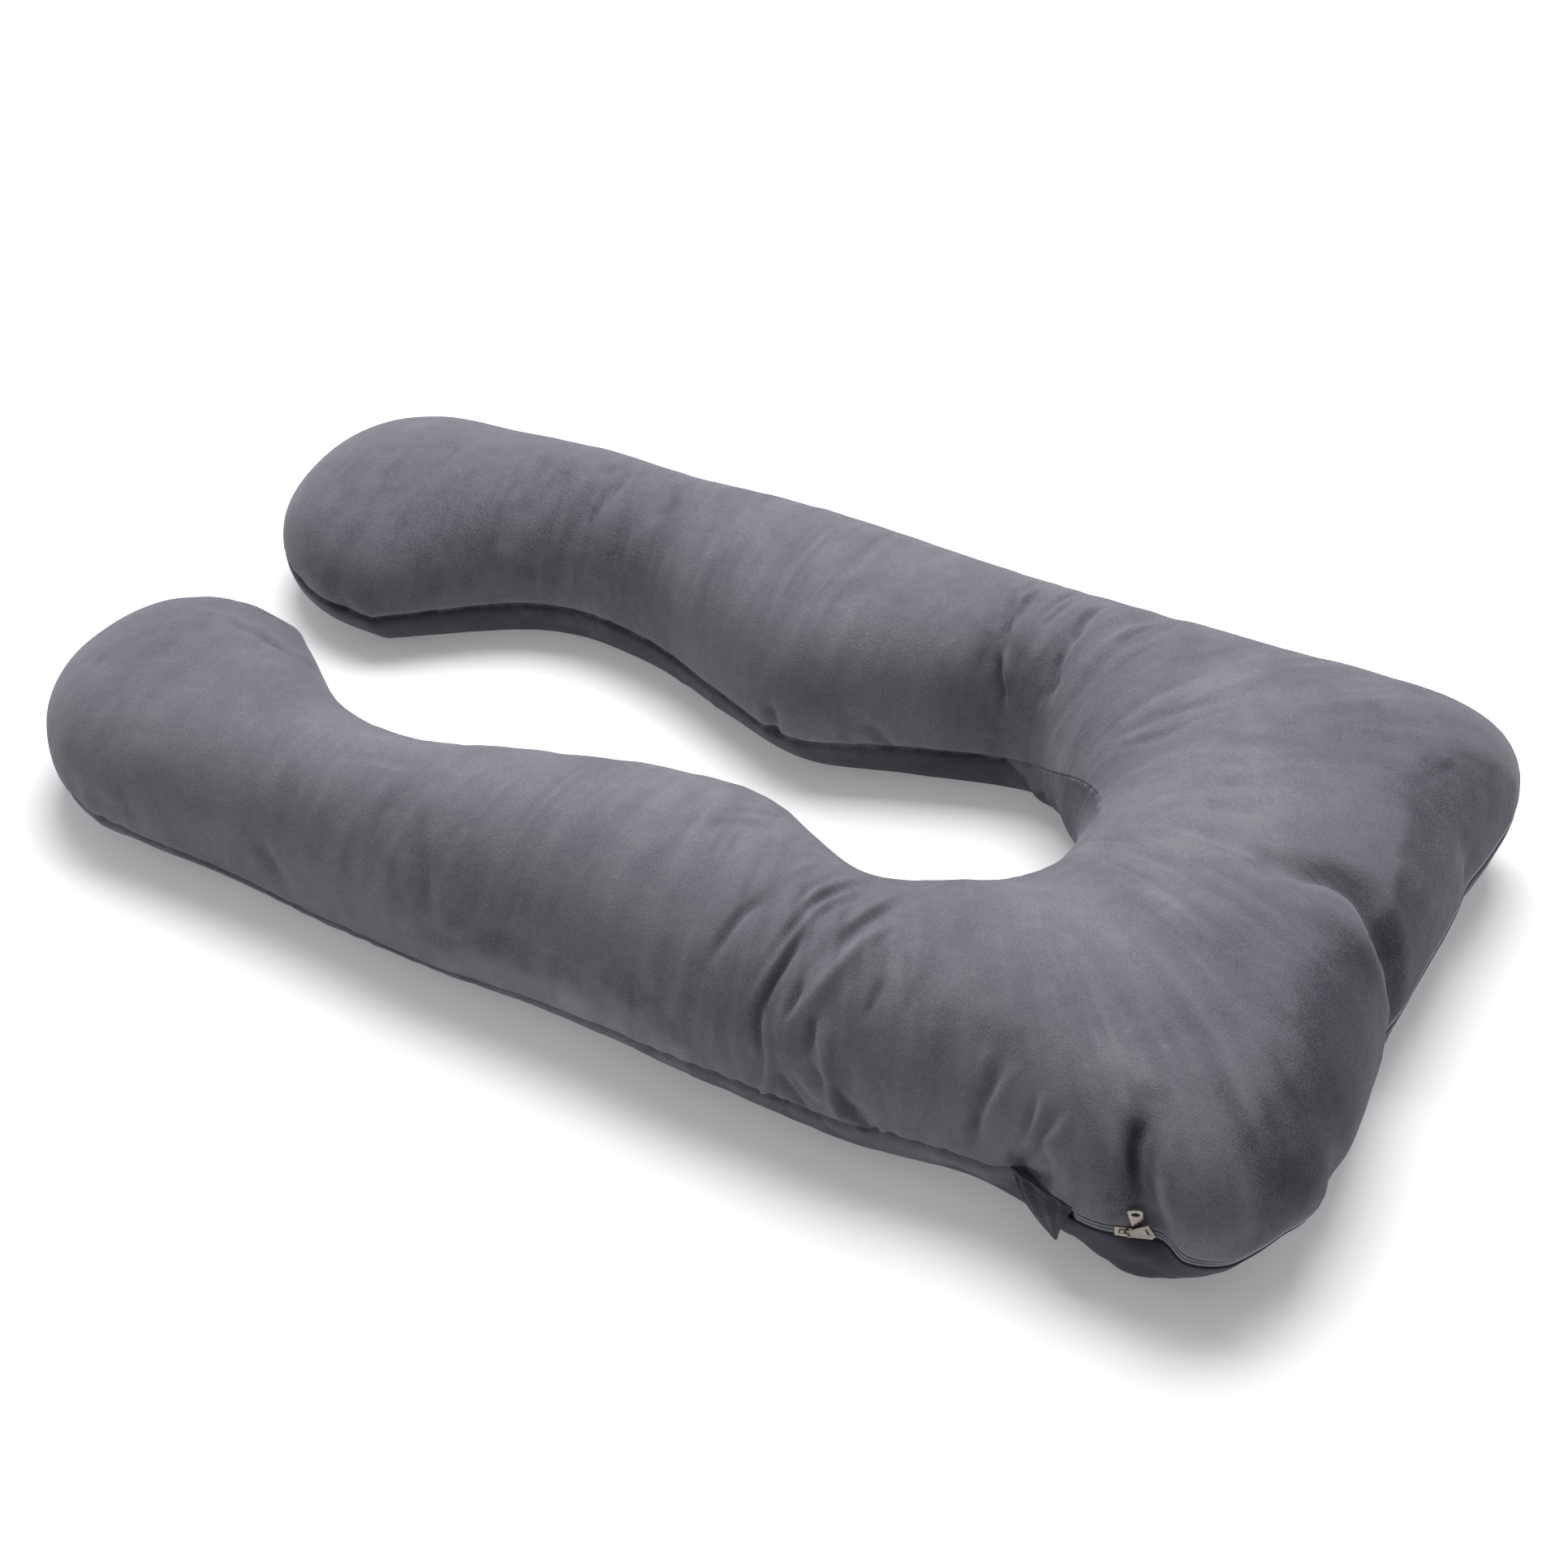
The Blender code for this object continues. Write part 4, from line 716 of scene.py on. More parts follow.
def place_angle(section, across):
    """Angle round a section of a place across the cloth."""
    outer, inner = seam_angles(section)
    if across > 1:
        fine, length = measured_curve(section, inner, outer + 2 * math.pi)
        return np.interp((across - 1) * length[-1], length, fine)
    fine, length = measured_curve(section, outer, inner if across >= 0 else inner - 2 * math.pi)
    return np.interp(abs(across) * length[-1], length, fine)


def cloth_point(sections, along, place):
    """Point of the smooth cloth, before any fold, at a place (along, across)."""
    section = np.array([np.interp(place[0], along, column) for column in sections.T])
    return profile(section, np.array([place_angle(section, place[1])]))[0]


def distance_to_path(points, path, normals=None):
    """Distance from each point to the nearest of a path's straight pieces, and its share down the path.

    With normals, the distance is above 0 to the left of the path, seen from outside, and below 0 to its
    right."""
    best = np.full(len(points), np.inf)
    share, side = np.zeros(len(points)), np.ones(len(points))
    starts = running_length(path)
    for number in range(len(path) - 1):
        piece = path[number + 1] - path[number]
        reach = np.clip((points - path[number]) @ piece / (piece @ piece), 0, 1)
        away = points - path[number] - reach[:, None] * piece
        distance = np.linalg.norm(away, axis=1)
        nearer = distance < best
        best[nearer] = distance[nearer]
        share[nearer] = ((starts[number] + reach * np.linalg.norm(piece)) / starts[-1])[nearer]
        if normals is not None:
            left = (np.cross(normals, piece) * away).sum(axis=1) > 0
            side[nearer] = left[nearer] * 2.0 - 1.0
    return best * side, share


def path_through(sections, along, places):
    """A smooth row of points on the cloth through some places."""
    path = np.array([cloth_point(sections, along, place) for place in places])
    return smooth_rows(path, np.linspace(0, len(path) - 1, PATH_STEPS * len(path)))


def beside(points, path, reach):
    """Numbers of the points in the box round a path."""
    low, high = path.min(axis=0) - reach, path.max(axis=0) + reach
    return np.flatnonzero(((points > low) & (points < high)).all(axis=1))


def kept_share(name):
    """How much of one of the solid's folds the fine cloth keeps."""
    if name in WHOLE_FOLDS:
        return 1.0
    return FAINT_SHARE if name in FAINT_FOLDS else FOLD_SHARE


def fold_offsets(points, sections, along, share_of=lambda name: 1.0):
    """How far each point moves out along its normal, summed over a share of each of the solid's folds."""
    offsets = np.zeros(len(points))
    for name, (depth, half_width, places) in FOLDS.items():
        path = path_through(sections, along, places)
        near = beside(points, path, half_width)
        distance, down = distance_to_path(points[near], path)
        trough = np.maximum(1 - (distance / half_width) ** 2, 0) ** 2
        fade = FOLD_FADE + (1 - FOLD_FADE) * np.sin(math.pi * down)
        offsets[near] -= depth * share_of(name) * trough * fade
    return offsets


def normals_of(rings):
    """Outward unit normals of a closed band of rings."""
    round_it = np.roll(rings, -1, axis=1) - np.roll(rings, 1, axis=1)
    down_it = np.gradient(rings, axis=0)
    normals = np.cross(down_it, round_it)
    length = np.linalg.norm(normals, axis=2, keepdims=True)
    return normals / np.maximum(length, TINY)


def zip_share(along):
    """1 where the zip's channel is open, 0 where the seam is sewn shut."""
    before = (along - (ZIP_FROM - ZIP_RUN_OUT)) / ZIP_RUN_OUT
    after = ((ZIP_TO + ZIP_RUN_OUT) - along) / ZIP_RUN_OUT
    return np.clip(np.minimum(before, after), 0, 1)


def spread(section, first, last, first_lip, last_lip, count):
    """Angles of points spread evenly between two angles, after a lip at each end that has one."""
    fine, length = measured_curve(section, first, last)
    places = np.linspace(first_lip, length[-1] - last_lip, count + 2)
    kept = slice(0 if first_lip else 1, None if last_lip else -1)
    return np.interp(places[kept], length, fine)


def ring_of(section, outer_lip):
    """One ring: outer seam, over the upper panel, inner seam, then under the pillow and back."""
    outer, inner = seam_angles(section)
    down, up = touch_angles(section)
    upper = spread(section, outer, inner, outer_lip, SEAM_LIP, UPPER_COLUMNS)
    inner_side = spread(section, inner, down, SEAM_LIP, 0, SIDE_COLUMNS)
    floor = np.linspace(down, up, FLOOR_COLUMNS + 2)
    outer_side = spread(section, up, outer + 2 * math.pi, 0, outer_lip, SIDE_COLUMNS)
    return profile(section, np.concatenate([[outer], upper, [inner], inner_side, floor, outer_side]))


OUTER_SEAM = 0
INNER_SEAM = UPPER_COLUMNS + 3
FLOOR_FROM = INNER_SEAM + SIDE_COLUMNS + 2
FLOOR = slice(FLOOR_FROM, FLOOR_FROM + FLOOR_COLUMNS + 2)


def seam_frames(rings, column):
    """At each ring the seam's point, and unit vectors up across it and out of the pillow."""
    point = rings[:, column]
    above = rings[:, (column + 1) % rings.shape[1]]
    below = rings[:, column - 1]
    down_seam = np.gradient(point, axis=0)
    down_seam /= np.maximum(np.linalg.norm(down_seam, axis=1, keepdims=True), TINY)
    across = above - below
    across -= np.sum(across * down_seam, axis=1, keepdims=True) * down_seam
    across /= np.maximum(np.linalg.norm(across, axis=1, keepdims=True), TINY)
    return point, across, np.cross(down_seam, across)


def folded_rings():
    """The cloth's rings with every fold in them, the distance along for each, and the straight stretch."""
    sections, along, straight = stations(BODY_STATIONS, FOOT_STATIONS)
    open_share = zip_share(along)
    lips = SEAM_LIP + (ZIP_LIP - SEAM_LIP) * open_share
    rings = np.array([ring_of(section, lip) for section, lip in zip(sections, lips)])
    offsets = fold_offsets(rings.reshape(-1, 3), sections, along).reshape(rings.shape[:2])
    offsets *= sections[:, 7:8]
    offsets[:, FLOOR] = 0.0
    rings = rings + normals_of(rings) * offsets[..., None]
    rings[..., 2] = np.maximum(rings[..., 2], 0.0)
    return rings, along, straight


def zip_frames(rings, straight):
    """Frames down the outer seam, turning smoothly, and level over the sliders' straight stretch."""
    point, across, out = seam_frames(rings, OUTER_SEAM)
    for _ in range(FRAME_SMOOTHING):
        across[1:-1] = (across[:-2] + 2 * across[1:-1] + across[2:]) / 4
    down = np.gradient(point, axis=0)
    level = slice(straight, straight + 2)
    across[level] = across[level].mean(axis=0)
    down[level] = point[straight + 1] - point[straight]
    down /= np.linalg.norm(down, axis=1, keepdims=True)
    across -= np.sum(across * down, axis=1, keepdims=True) * down
    across /= np.linalg.norm(across, axis=1, keepdims=True)
    return point, across, np.cross(down, across)


def ring_places(section, share):
    """Angles of a fine ring's points, and how far each lies from the outer seam and the inner seam."""
    sewn, zipped = EDGES[:, 0], EDGES[:, 2]
    lip = sewn + (zipped - sewn) * share
    outer, inner = seam_angles(section)
    down, up = touch_angles(section)
    fine, length = measured_curve(section, outer, inner)
    even = np.linspace(lip[-1], length[-1] - sewn[-1], FINE_UPPER_COLUMNS + 2)[1:-1]
    upper = np.concatenate([lip, even, length[-1] - sewn[::-1]])
    upper_angles = np.interp(upper, length, fine)
    fine, length = measured_curve(section, inner, down)
    inner_side = np.concatenate([sewn[1:], np.linspace(sewn[-1], length[-1], FINE_SIDE_COLUMNS + 2)[1:]])
    inner_angles = np.interp(inner_side, length, fine)
    floor_angles = np.linspace(down, up, FINE_FLOOR_COLUMNS + 2)[1:-1]
    fine, length = measured_curve(section, up, outer + 2 * math.pi)
    plain = np.linspace(0, length[-1] - lip[-1], FINE_SIDE_COLUMNS + 2)[:-1]
    outer_side = np.concatenate([plain, length[-1] - lip[:0:-1]])
    outer_angles = np.interp(outer_side, length, fine)
    angles = np.concatenate([upper_angles, inner_angles, floor_angles, outer_angles])
    far, far_inside, far_outside = (np.ones(len(part)) for part in (floor_angles, inner_side, outer_side))
    from_outer = np.concatenate([upper, far_inside, far, length[-1] - outer_side])
    from_inner = np.concatenate([upper[-1] - upper, inner_side, far, far_outside])
    return angles, from_outer, from_inner


def crease_shape(distance, sharpness, steepness):
    """Depth across a crease, from 1 in its middle through 0 to the swelling beside it."""
    reach = np.clip(1 - distance, 0, None)
    rounded = np.clip(1 - distance**2, 0, None) ** 2
    trough = rounded + (reach**2 - rounded) * sharpness
    swelling = np.clip(1 - (distance - SHOULDER_AT) ** 2, 0, None) ** 2
    return trough - (SHOULDER_SHARE * sharpness + STEEP_SHARE * np.maximum(steepness, 0)) * swelling


def crease_offsets(points, normals, sections, along, creases):
    """How far each point moves out along its normal for a list of creases."""
    offsets = np.zeros(len(points))
    for depth, half_width, sharpness, places, *lean in creases:
        lean = lean[0] if lean else 0.0
        path = path_through(sections, along, places)
        near = beside(points, path, half_width * (1 + SHOULDER_AT) * (1 + abs(lean)))
        if not len(near):
            continue
        distance, share = distance_to_path(points[near], path, normals[near])
        fade = np.ones(len(near))
        if abs(places[0][1] - 0.5) < 0.5 - ON_SEAM:
            fade *= np.clip(share / END_FADE, 0, 1)
        if abs(places[-1][1] - 0.5) < 0.5 - ON_SEAM:
            fade *= np.clip((1 - share) / END_FADE, 0, 1)
        steepness = lean * np.sign(distance)
        reached = np.abs(distance) / (half_width * (1 - steepness))
        offsets[near] -= depth * crease_shape(reached, sharpness, steepness) * eased(fade)
    return offsets


def grid_noise(draw, across, down):
    """Smooth noise from -1 to 1 over two coordinates, one random value at each whole number."""
    first, second = np.floor(across).astype(int), np.floor(down).astype(int)
    first_part, second_part = across - first, down - second
    first, second = first - first.min(), second - second.min()
    values = draw.uniform(-1, 1, (first.max() + 2, second.max() + 2))
    first_part, second_part = eased(first_part), eased(second_part)
    near = values[first, second] * (1 - first_part) + values[first + 1, second] * first_part
    far = values[first, second + 1] * (1 - first_part) + values[first + 1, second + 1] * first_part
    return near * (1 - second_part) + far * second_part


def ripples(along, across):
    """Faint drag lines that run over the pillow from seam to seam, and lumps in the stuffing."""
    draw = np.random.default_rng(RIPPLE_SEED)
    total = np.zeros(along.shape)
    for height, spacing, length, lean in RIPPLES:
        lines = grid_noise(draw, (along + lean * across) / spacing, across / length)
        patches = np.clip(0.5 + grid_noise(draw, along / LUMPS[0], across / LUMPS[1]), 0, 1)
        total += height * lines * patches
    return total


def gathers(along):
    """Short creases that run up from both seams, on the upper and the lower panel."""
    draw = np.random.default_rng(GATHER_SEED)
    made = []
    for seam, direction in ((0.0, 1), (0.0, -1), (1.0, -1)):
        at = along[0] + GATHER_ENDS
        while at < along[-1] - GATHER_ENDS:
            at += draw.uniform(*GATHER_SPACING)
            depth, half_width = draw.uniform(*GATHER_DEPTH), draw.uniform(*GATHER_HALF_WIDTH)
            reach, lean = draw.uniform(*GATHER_REACH), draw.uniform(-GATHER_LEAN, GATHER_LEAN)
            if seam == 1.0 and PLAIN_INNER[0] < at < PLAIN_INNER[1]:
                continue
            end = (at + lean, seam + direction * reach)
            bend = (at + lean / 3, seam + direction * reach / 2)
            made.append((depth, half_width, GATHER_SHARPNESS, (end, bend, (at, seam))))
    return made


def zip_line(rings, along, straight):
    """The solid's zip, drawn smoothly: distance along the pillow, point, up across it, and out."""
    point, across, out = zip_frames(rings, straight)
    steps = running_length(point)
    slope = np.gradient(point, steps, axis=0)
    chord = (point[straight + 1] - point[straight]) / (steps[straight + 1] - steps[straight])
    slope[straight:straight + 2] = chord
    return {"along": along, "steps": steps, "point": point, "slope": slope, "across": across, "out": out}


def on_zip_line(line, steps):
    """Point, across and out at distances down the zip line."""
    ends = line["steps"]
    piece = np.clip(np.searchsorted(ends, steps, side="right") - 1, 0, len(ends) - 2)
    span = ends[piece + 1] - ends[piece]
    share = ((steps - ends[piece]) / span)[:, None]
    span = span[:, None]
    start, end = line["point"][piece], line["point"][piece + 1]
    start_slope, end_slope = line["slope"][piece] * span, line["slope"][piece + 1] * span
    point = (
        (2 * share**3 - 3 * share**2 + 1) * start + (share**3 - 2 * share**2 + share) * start_slope
        + (3 * share**2 - 2 * share**3) * end + (share**3 - share**2) * end_slope
    )
    turned = eased(share)
    across = line["across"][piece] * (1 - turned) + line["across"][piece + 1] * turned
    slope = (
        (6 * share**2 - 6 * share) * (start - end) / span
        + (3 * share**2 - 4 * share + 1) * start_slope / span
        + (3 * share**2 - 2 * share) * end_slope / span
    )
    slope /= np.linalg.norm(slope, axis=1, keepdims=True)
    across -= (across * slope).sum(axis=1, keepdims=True) * slope
    across /= np.linalg.norm(across, axis=1, keepdims=True)
    return point, across, np.cross(slope, across)


def patch_depth(along, across, corners):
    """How far each place lies inside a patch, in metres, below 0 outside it."""
    corners = np.array(corners) * (1, PANEL_LENGTH)
    places = np.stack([along, across * PANEL_LENGTH], axis=-1)
    inside = np.zeros(along.shape, bool)
    nearest = np.full(along.shape, np.inf)
    for start, end in zip(corners, np.roll(corners, -1, axis=0)):
        edge = end - start
        reach = np.clip(((places - start) @ edge) / (edge @ edge), 0, 1)
        nearest = np.minimum(nearest, np.linalg.norm(places - start - reach[..., None] * edge, axis=-1))
        rises = (start[1] > places[..., 1]) != (end[1] > places[..., 1])
        drop = edge[1] if edge[1] else TINY
        inside ^= rises & (places[..., 0] < start[0] + (places[..., 1] - start[1]) * edge[0] / drop)
    return np.where(inside, nearest, -nearest)


def brushed_and_shaded(along, across):
    """How light or dark the pile shows, from -1 to 1, in frayed patches and in streaks from seam to seam,
    with the painted shade that some patches carry.
    """
    draw = np.random.default_rng(NAP_SEED)
    down = across * PANEL_LENGTH
    fray = sum(reach * grid_noise(draw, along / wide, down / tall) for reach, wide, tall in FRAYS)
    patches = np.clip(0.5 + grid_noise(draw, along / STREAKED[0], down / STREAKED[1]), 0, 1)
    total = sum(weight * grid_noise(draw, along / wide, down / tall) for weight, wide, tall in STREAKS)
    total = total * patches
    for strength, softness, corners in NAP_AND_SHADE:
        frayed = fray * min(1, (softness / FRAYED) ** 2)
        share = eased(0.5 + (patch_depth(along, across, corners) + frayed) / (2 * softness))
        if softness < SHARP:
            first, last = min(place[0] for place in corners), max(place[0] for place in corners)
            run_out = min(PATCH_RUN_OUT, PATCH_RUN_SHARE * (last - first))
            share = share * np.clip((along - first) / run_out, 0, 1) * np.clip((last - along) / run_out, 0, 1)
        total += strength * share
    return total


def evened(offsets):
    """The offsets with each one drawn a little towards its neighbours, down and across."""
    offsets = (np.roll(offsets, 1, axis=1) + 2 * offsets + np.roll(offsets, -1, axis=1)) / 4
    offsets[1:-1] = (offsets[:-2] + 2 * offsets[1:-1] + offsets[2:]) / 4
    return offsets


def moved_out(rings, offsets, size):
    """The rings moved out along their normals, less on the small rings of the feet and near the floor."""
    offsets = offsets.reshape(rings.shape[:2]) * size[:, None]
    offsets = offsets * np.clip(rings[..., 2] / FLOOR_FADE, 0, 1)
    return rings + normals_of(rings) * offsets[..., None]


def attached_share(along):
    """1 where the cloth's edge follows the zip, 0 where it lies free."""
    before = np.clip((along - (ZIP_FROM - ATTACH_RUN_OUT)) / ATTACH_RUN_OUT, 0, 1)
    after = np.clip((ZIP_TO + ATTACH_RUN_OUT - along) / ATTACH_RUN_OUT, 0, 1)
    return np.minimum(before, after)


def lips_over_zip(sewn, point, across, out):
    """The rings with their edges rolled down to the open zip, a lip on each side of it."""
    zipped = sewn.copy()
    for row, (_, _, distance, part) in enumerate(EDGE[:-1]):
        for column, way in ((row, 1), (-row, -1)) if row else ((0, 1),):
            edge = point + across * (way * distance) - out * (ZIP_RECESS * part)
            if row == len(EDGE) - 2:
                edge = (edge + sewn[:, column]) / 2
            zipped[:, column] = edge
    return zipped


def dressed_rings():
    """Points of the dressed cover ring by ring, the zip line, and each point's pile shade: brushed patches
    with painted shade and painted highlight.
    """
    coarse, coarse_along, straight = folded_rings()
    line = zip_line(coarse, coarse_along, straight)

    sections, along, _ = stations(FINE_BODY_STATIONS, FINE_FOOT_STATIONS, False, CLOSENESS)
    size = sections[:, 7]
    share = zip_share(along)
    placed = [ring_places(section, part) for section, part in zip(sections, share)]
    rings = np.array([profile(section, angles) for section, (angles, _, _) in zip(sections, placed)])
    from_outer = np.array([outer for _, outer, _ in placed])
    from_inner = np.array([inner for _, _, inner in placed])

    # How far each point lies over the panels from the outer seam, below 0 down the lower panel from it.
    panel = from_outer[:, FINE_INNER_SEAM:FINE_INNER_SEAM + 1]
    lower = np.where(from_inner < from_outer, panel + from_inner, -from_outer)
    over = np.where(np.arange(rings.shape[1]) > FINE_INNER_SEAM, lower, from_outer)
    lie = np.broadcast_to(along[:, None], over.shape)

    # Drag lines grow fainter where the rings crowd together, on the inside of the closed end.
    flat, normals = rings.reshape(-1, 3), normals_of(rings).reshape(-1, 3)
    apart = np.linalg.norm(np.gradient(rings, axis=0), axis=2) / np.gradient(along)[:, None]
    lumps = ripples(lie, over) * np.clip(apart, 0, 1) ** CROWDED
    rings = moved_out(rings, fold_offsets(flat, sections, along, kept_share) + lumps.ravel(), size)

    # Creases stay clear of the zip.
    creases = [crease for group in CREASES.values() for crease in group] + gathers(along)
    attached = attached_share(along)[:, None]
    kept = 1 - attached * (1 - eased((from_outer - CREASE_FREE) / CREASE_RETURN))
    offsets = evened(crease_offsets(flat, normals, sections, along, creases).reshape(kept.shape) * kept)
    rings = moved_out(rings, offsets, size)

    # The cloth beside the zip follows the zip.
    point, across, out = on_zip_line(line, np.interp(along, line["along"], line["steps"]))
    near = eased((ATTACH_FAR - from_outer) / (ATTACH_FAR - ATTACH_NEAR))
    rings = rings + (point - rings[:, 0])[:, None] * (near * attached)[..., None]

    # The seams are drawn in.
    _, _, seam_out = seam_frames(rings, 0)
    depth = np.interp(from_outer, EDGES[:, 0], EDGES[:, 1]) * SEAM_DEPTH * size[:, None]
    sewn = rings - seam_out[:, None] * depth[..., None]
    rings = sewn + (lips_over_zip(sewn, point, across, out) - sewn) * share[:, None, None]
    _, _, inner_out = seam_frames(rings, FINE_INNER_SEAM)
    full = np.interp(along, *np.transpose(INNER_SEAM_SHARE))[:, None]
    plain_seam = np.interp(from_inner, EDGES[:, 0], EDGES[:, 1])
    depth = full * plain_seam + (1 - full) * np.interp(from_inner, *FINE_SEAM)
    depth = depth * SEAM_DEPTH * size[:, None]
    rings = rings - inner_out[:, None] * depth[..., None]
    rings[..., 2] = np.maximum(rings[..., 2], 0.0)
    # Pile shade: brushed patches, painted shade in the patches and in crease troughs, and painted highlight
    # on crease ridges.
    pile_and_shade = brushed_and_shaded(lie, over / panel) + np.clip(offsets * CREASE_SHADE_AND_HIGHLIGHT, *CREASE_SHADE_AND_HIGHLIGHT_RANGE)
    return rings, line, pile_and_shade


# ---- Blender pieces -----------------------------------------------------------------------------------

def finish_mesh(name, mesh, finish, sharp_degrees=None):
    """An object at the frame's origin from a bmesh drawn in the sections' plan."""
    bmesh.ops.translate(mesh, verts=mesh.verts, vec=[-part for part in CENTRE])
    bmesh.ops.recalc_face_normals(mesh, faces=mesh.faces)
    data = bpy.data.meshes.new(name)
    mesh.to_mesh(data)
    mesh.free()
    data.shade_smooth()
    if sharp_degrees is not None:
        data.set_sharp_from_angle(angle=math.radians(sharp_degrees))
    data.materials.append(finish)
    made = bpy.data.objects.new(name, data)
    bpy.context.scene.collection.objects.link(made)
    return made


def rolled_grid(rings, shades=None):
    """A bmesh tube through rings of points, closed at both ends, with a shade for each point."""
    rows, columns = rings.shape[:2]
    mesh = bmesh.new()
    bmesh.ops.create_grid(mesh, x_segments=columns, y_segments=rows - 1, size=0.5)
    flat = np.concatenate([rings, rings[:, :1]], axis=1).reshape(-1, 3)
    for vertex, place in zip(mesh.verts, flat):
        vertex.co = place
    if shades is not None:
        # the layer carries the pile shade, painted shade and painted highlight included
        layer = mesh.verts.layers.float.new("pile_and_shade")
        for vertex, shade in zip(mesh.verts, np.concatenate([shades, shades[:, :1]], axis=1).ravel()):
            vertex[layer] = shade
    bmesh.ops.remove_doubles(mesh, verts=mesh.verts, dist=WELD)
    bmesh.ops.holes_fill(mesh, edges=[edge for edge in mesh.edges if edge.is_boundary], sides=0)
    return mesh


def tucked_line(line, steps, start, stop):
    """Point, across and out down the zip line, with both ends sunk into the seam."""
    point, across, out = on_zip_line(line, steps)
    sunk = TUCKED_DEPTH * (1 - eased(np.minimum(steps - start, stop - steps) / TUCKED_OVER))
    return point - out * sunk[:, None], across, out


def strip_rings(line, steps, side):
    """Rings of one tape that follows the zip line above or below it, with its upper long edges rounded."""
    point, across, out = tucked_line(line, steps, steps[0], steps[-1])
    low, high = sorted(side * edge for edge in STRIP_EDGES)
    bottom, top = STRIP_LAYER
    round_off = (top - bottom) * STRIP_ROUNDING
    corners = [
        (low, bottom), (high, bottom), (high, top - round_off), (high - round_off, top),
        (low + round_off, top), (low, top - round_off),
    ]
    return np.stack([point + across * aside + out * off for aside, off in corners], axis=1)


def teeth(name, line, side, start, stop, finish):
    """One row of coil turns along the zip, the two rows half a pitch apart."""
    steps = np.arange(start + (TOOTH_PITCH / 2 if side > 0 else 0), stop, TOOTH_PITCH)
    point, across, out = tucked_line(line, steps, steps[0], steps[-1])
    one = bmesh.new()
    bmesh.ops.create_icosphere(one, subdivisions=TOOTH_FINENESS, radius=1.0)
    bmesh.ops.scale(one, vec=TOOTH_HALF, verts=one.verts)
    turn = bpy.data.meshes.new("turn")
    one.to_mesh(turn)
    one.free()
    mesh = bmesh.new()
    for place, up, off in zip(point, across, out):
        first = len(mesh.verts)
        mesh.from_mesh(turn)
        mesh.verts.ensure_lookup_table()
        frame_at = Matrix((up, np.cross(off, up), off)).transposed().to_4x4()
        frame_at.translation = Vector(place + up * side * TOOTH_AT[0] + off * TOOTH_AT[1])
        bmesh.ops.transform(mesh, matrix=frame_at, verts=mesh.verts[first:])
    bpy.data.meshes.remove(turn)
    return finish_mesh(name, mesh, finish)


def folded_flap(line):
    """Rings of the fold, from inside the seam down to its point."""
    steps = np.interp(FLAP_SEAM, line["along"], line["steps"])
    point, across, out = on_zip_line(line, steps)
    start, end = point + across * np.array(FLAP_UP)[:, None] + out * np.array(FLAP_OUT)[:, None]
    tip = point.mean(axis=0) + FLAP_TIP
    facing = np.cross(end - start, tip - (start + end) / 2)
    facing /= np.linalg.norm(facing)
    facing *= np.sign(facing @ out.mean(axis=0))
    sideways = (end - start) / np.linalg.norm(end - start)
    turns = np.arange(FLAP_COLUMNS) * math.tau / FLAP_COLUMNS
    flat = np.sign(np.cos(turns)) * np.abs(np.cos(turns)) ** FLAP_SQUARE
    pleat, pleats, pleat_turn = FLAP_PLEATS
    rings = []
    for share in np.linspace(FLAP_ROOT, 1.0, FLAP_ROWS):
        shown = max(share, 0)
        bow = 4 * shown * (1 - share)
        left = start + (tip - start) * share - sideways * FLAP_BULGE[0] * bow
        right = end + (tip - end) * share + sideways * FLAP_BULGE[1] * bow
        middle, half = (left + right) / 2, np.linalg.norm(right - left) / 2 + FLAP_EDGE
        thick = FLAP_THICK[0] + (FLAP_THICK[1] - FLAP_THICK[0]) * shown
        full = np.sin(turns) * thick * (1 + pleat * np.cos(pleats * turns + pleat_turn * share))
        sag = facing * FLAP_SAG * math.sin(math.pi * shown)
        rings.append(middle + sag + np.outer(flat * half, sideways) + np.outer(full, facing))
    return np.array(rings)


# ---- Materials ----------------------------------------------------------------------------------------

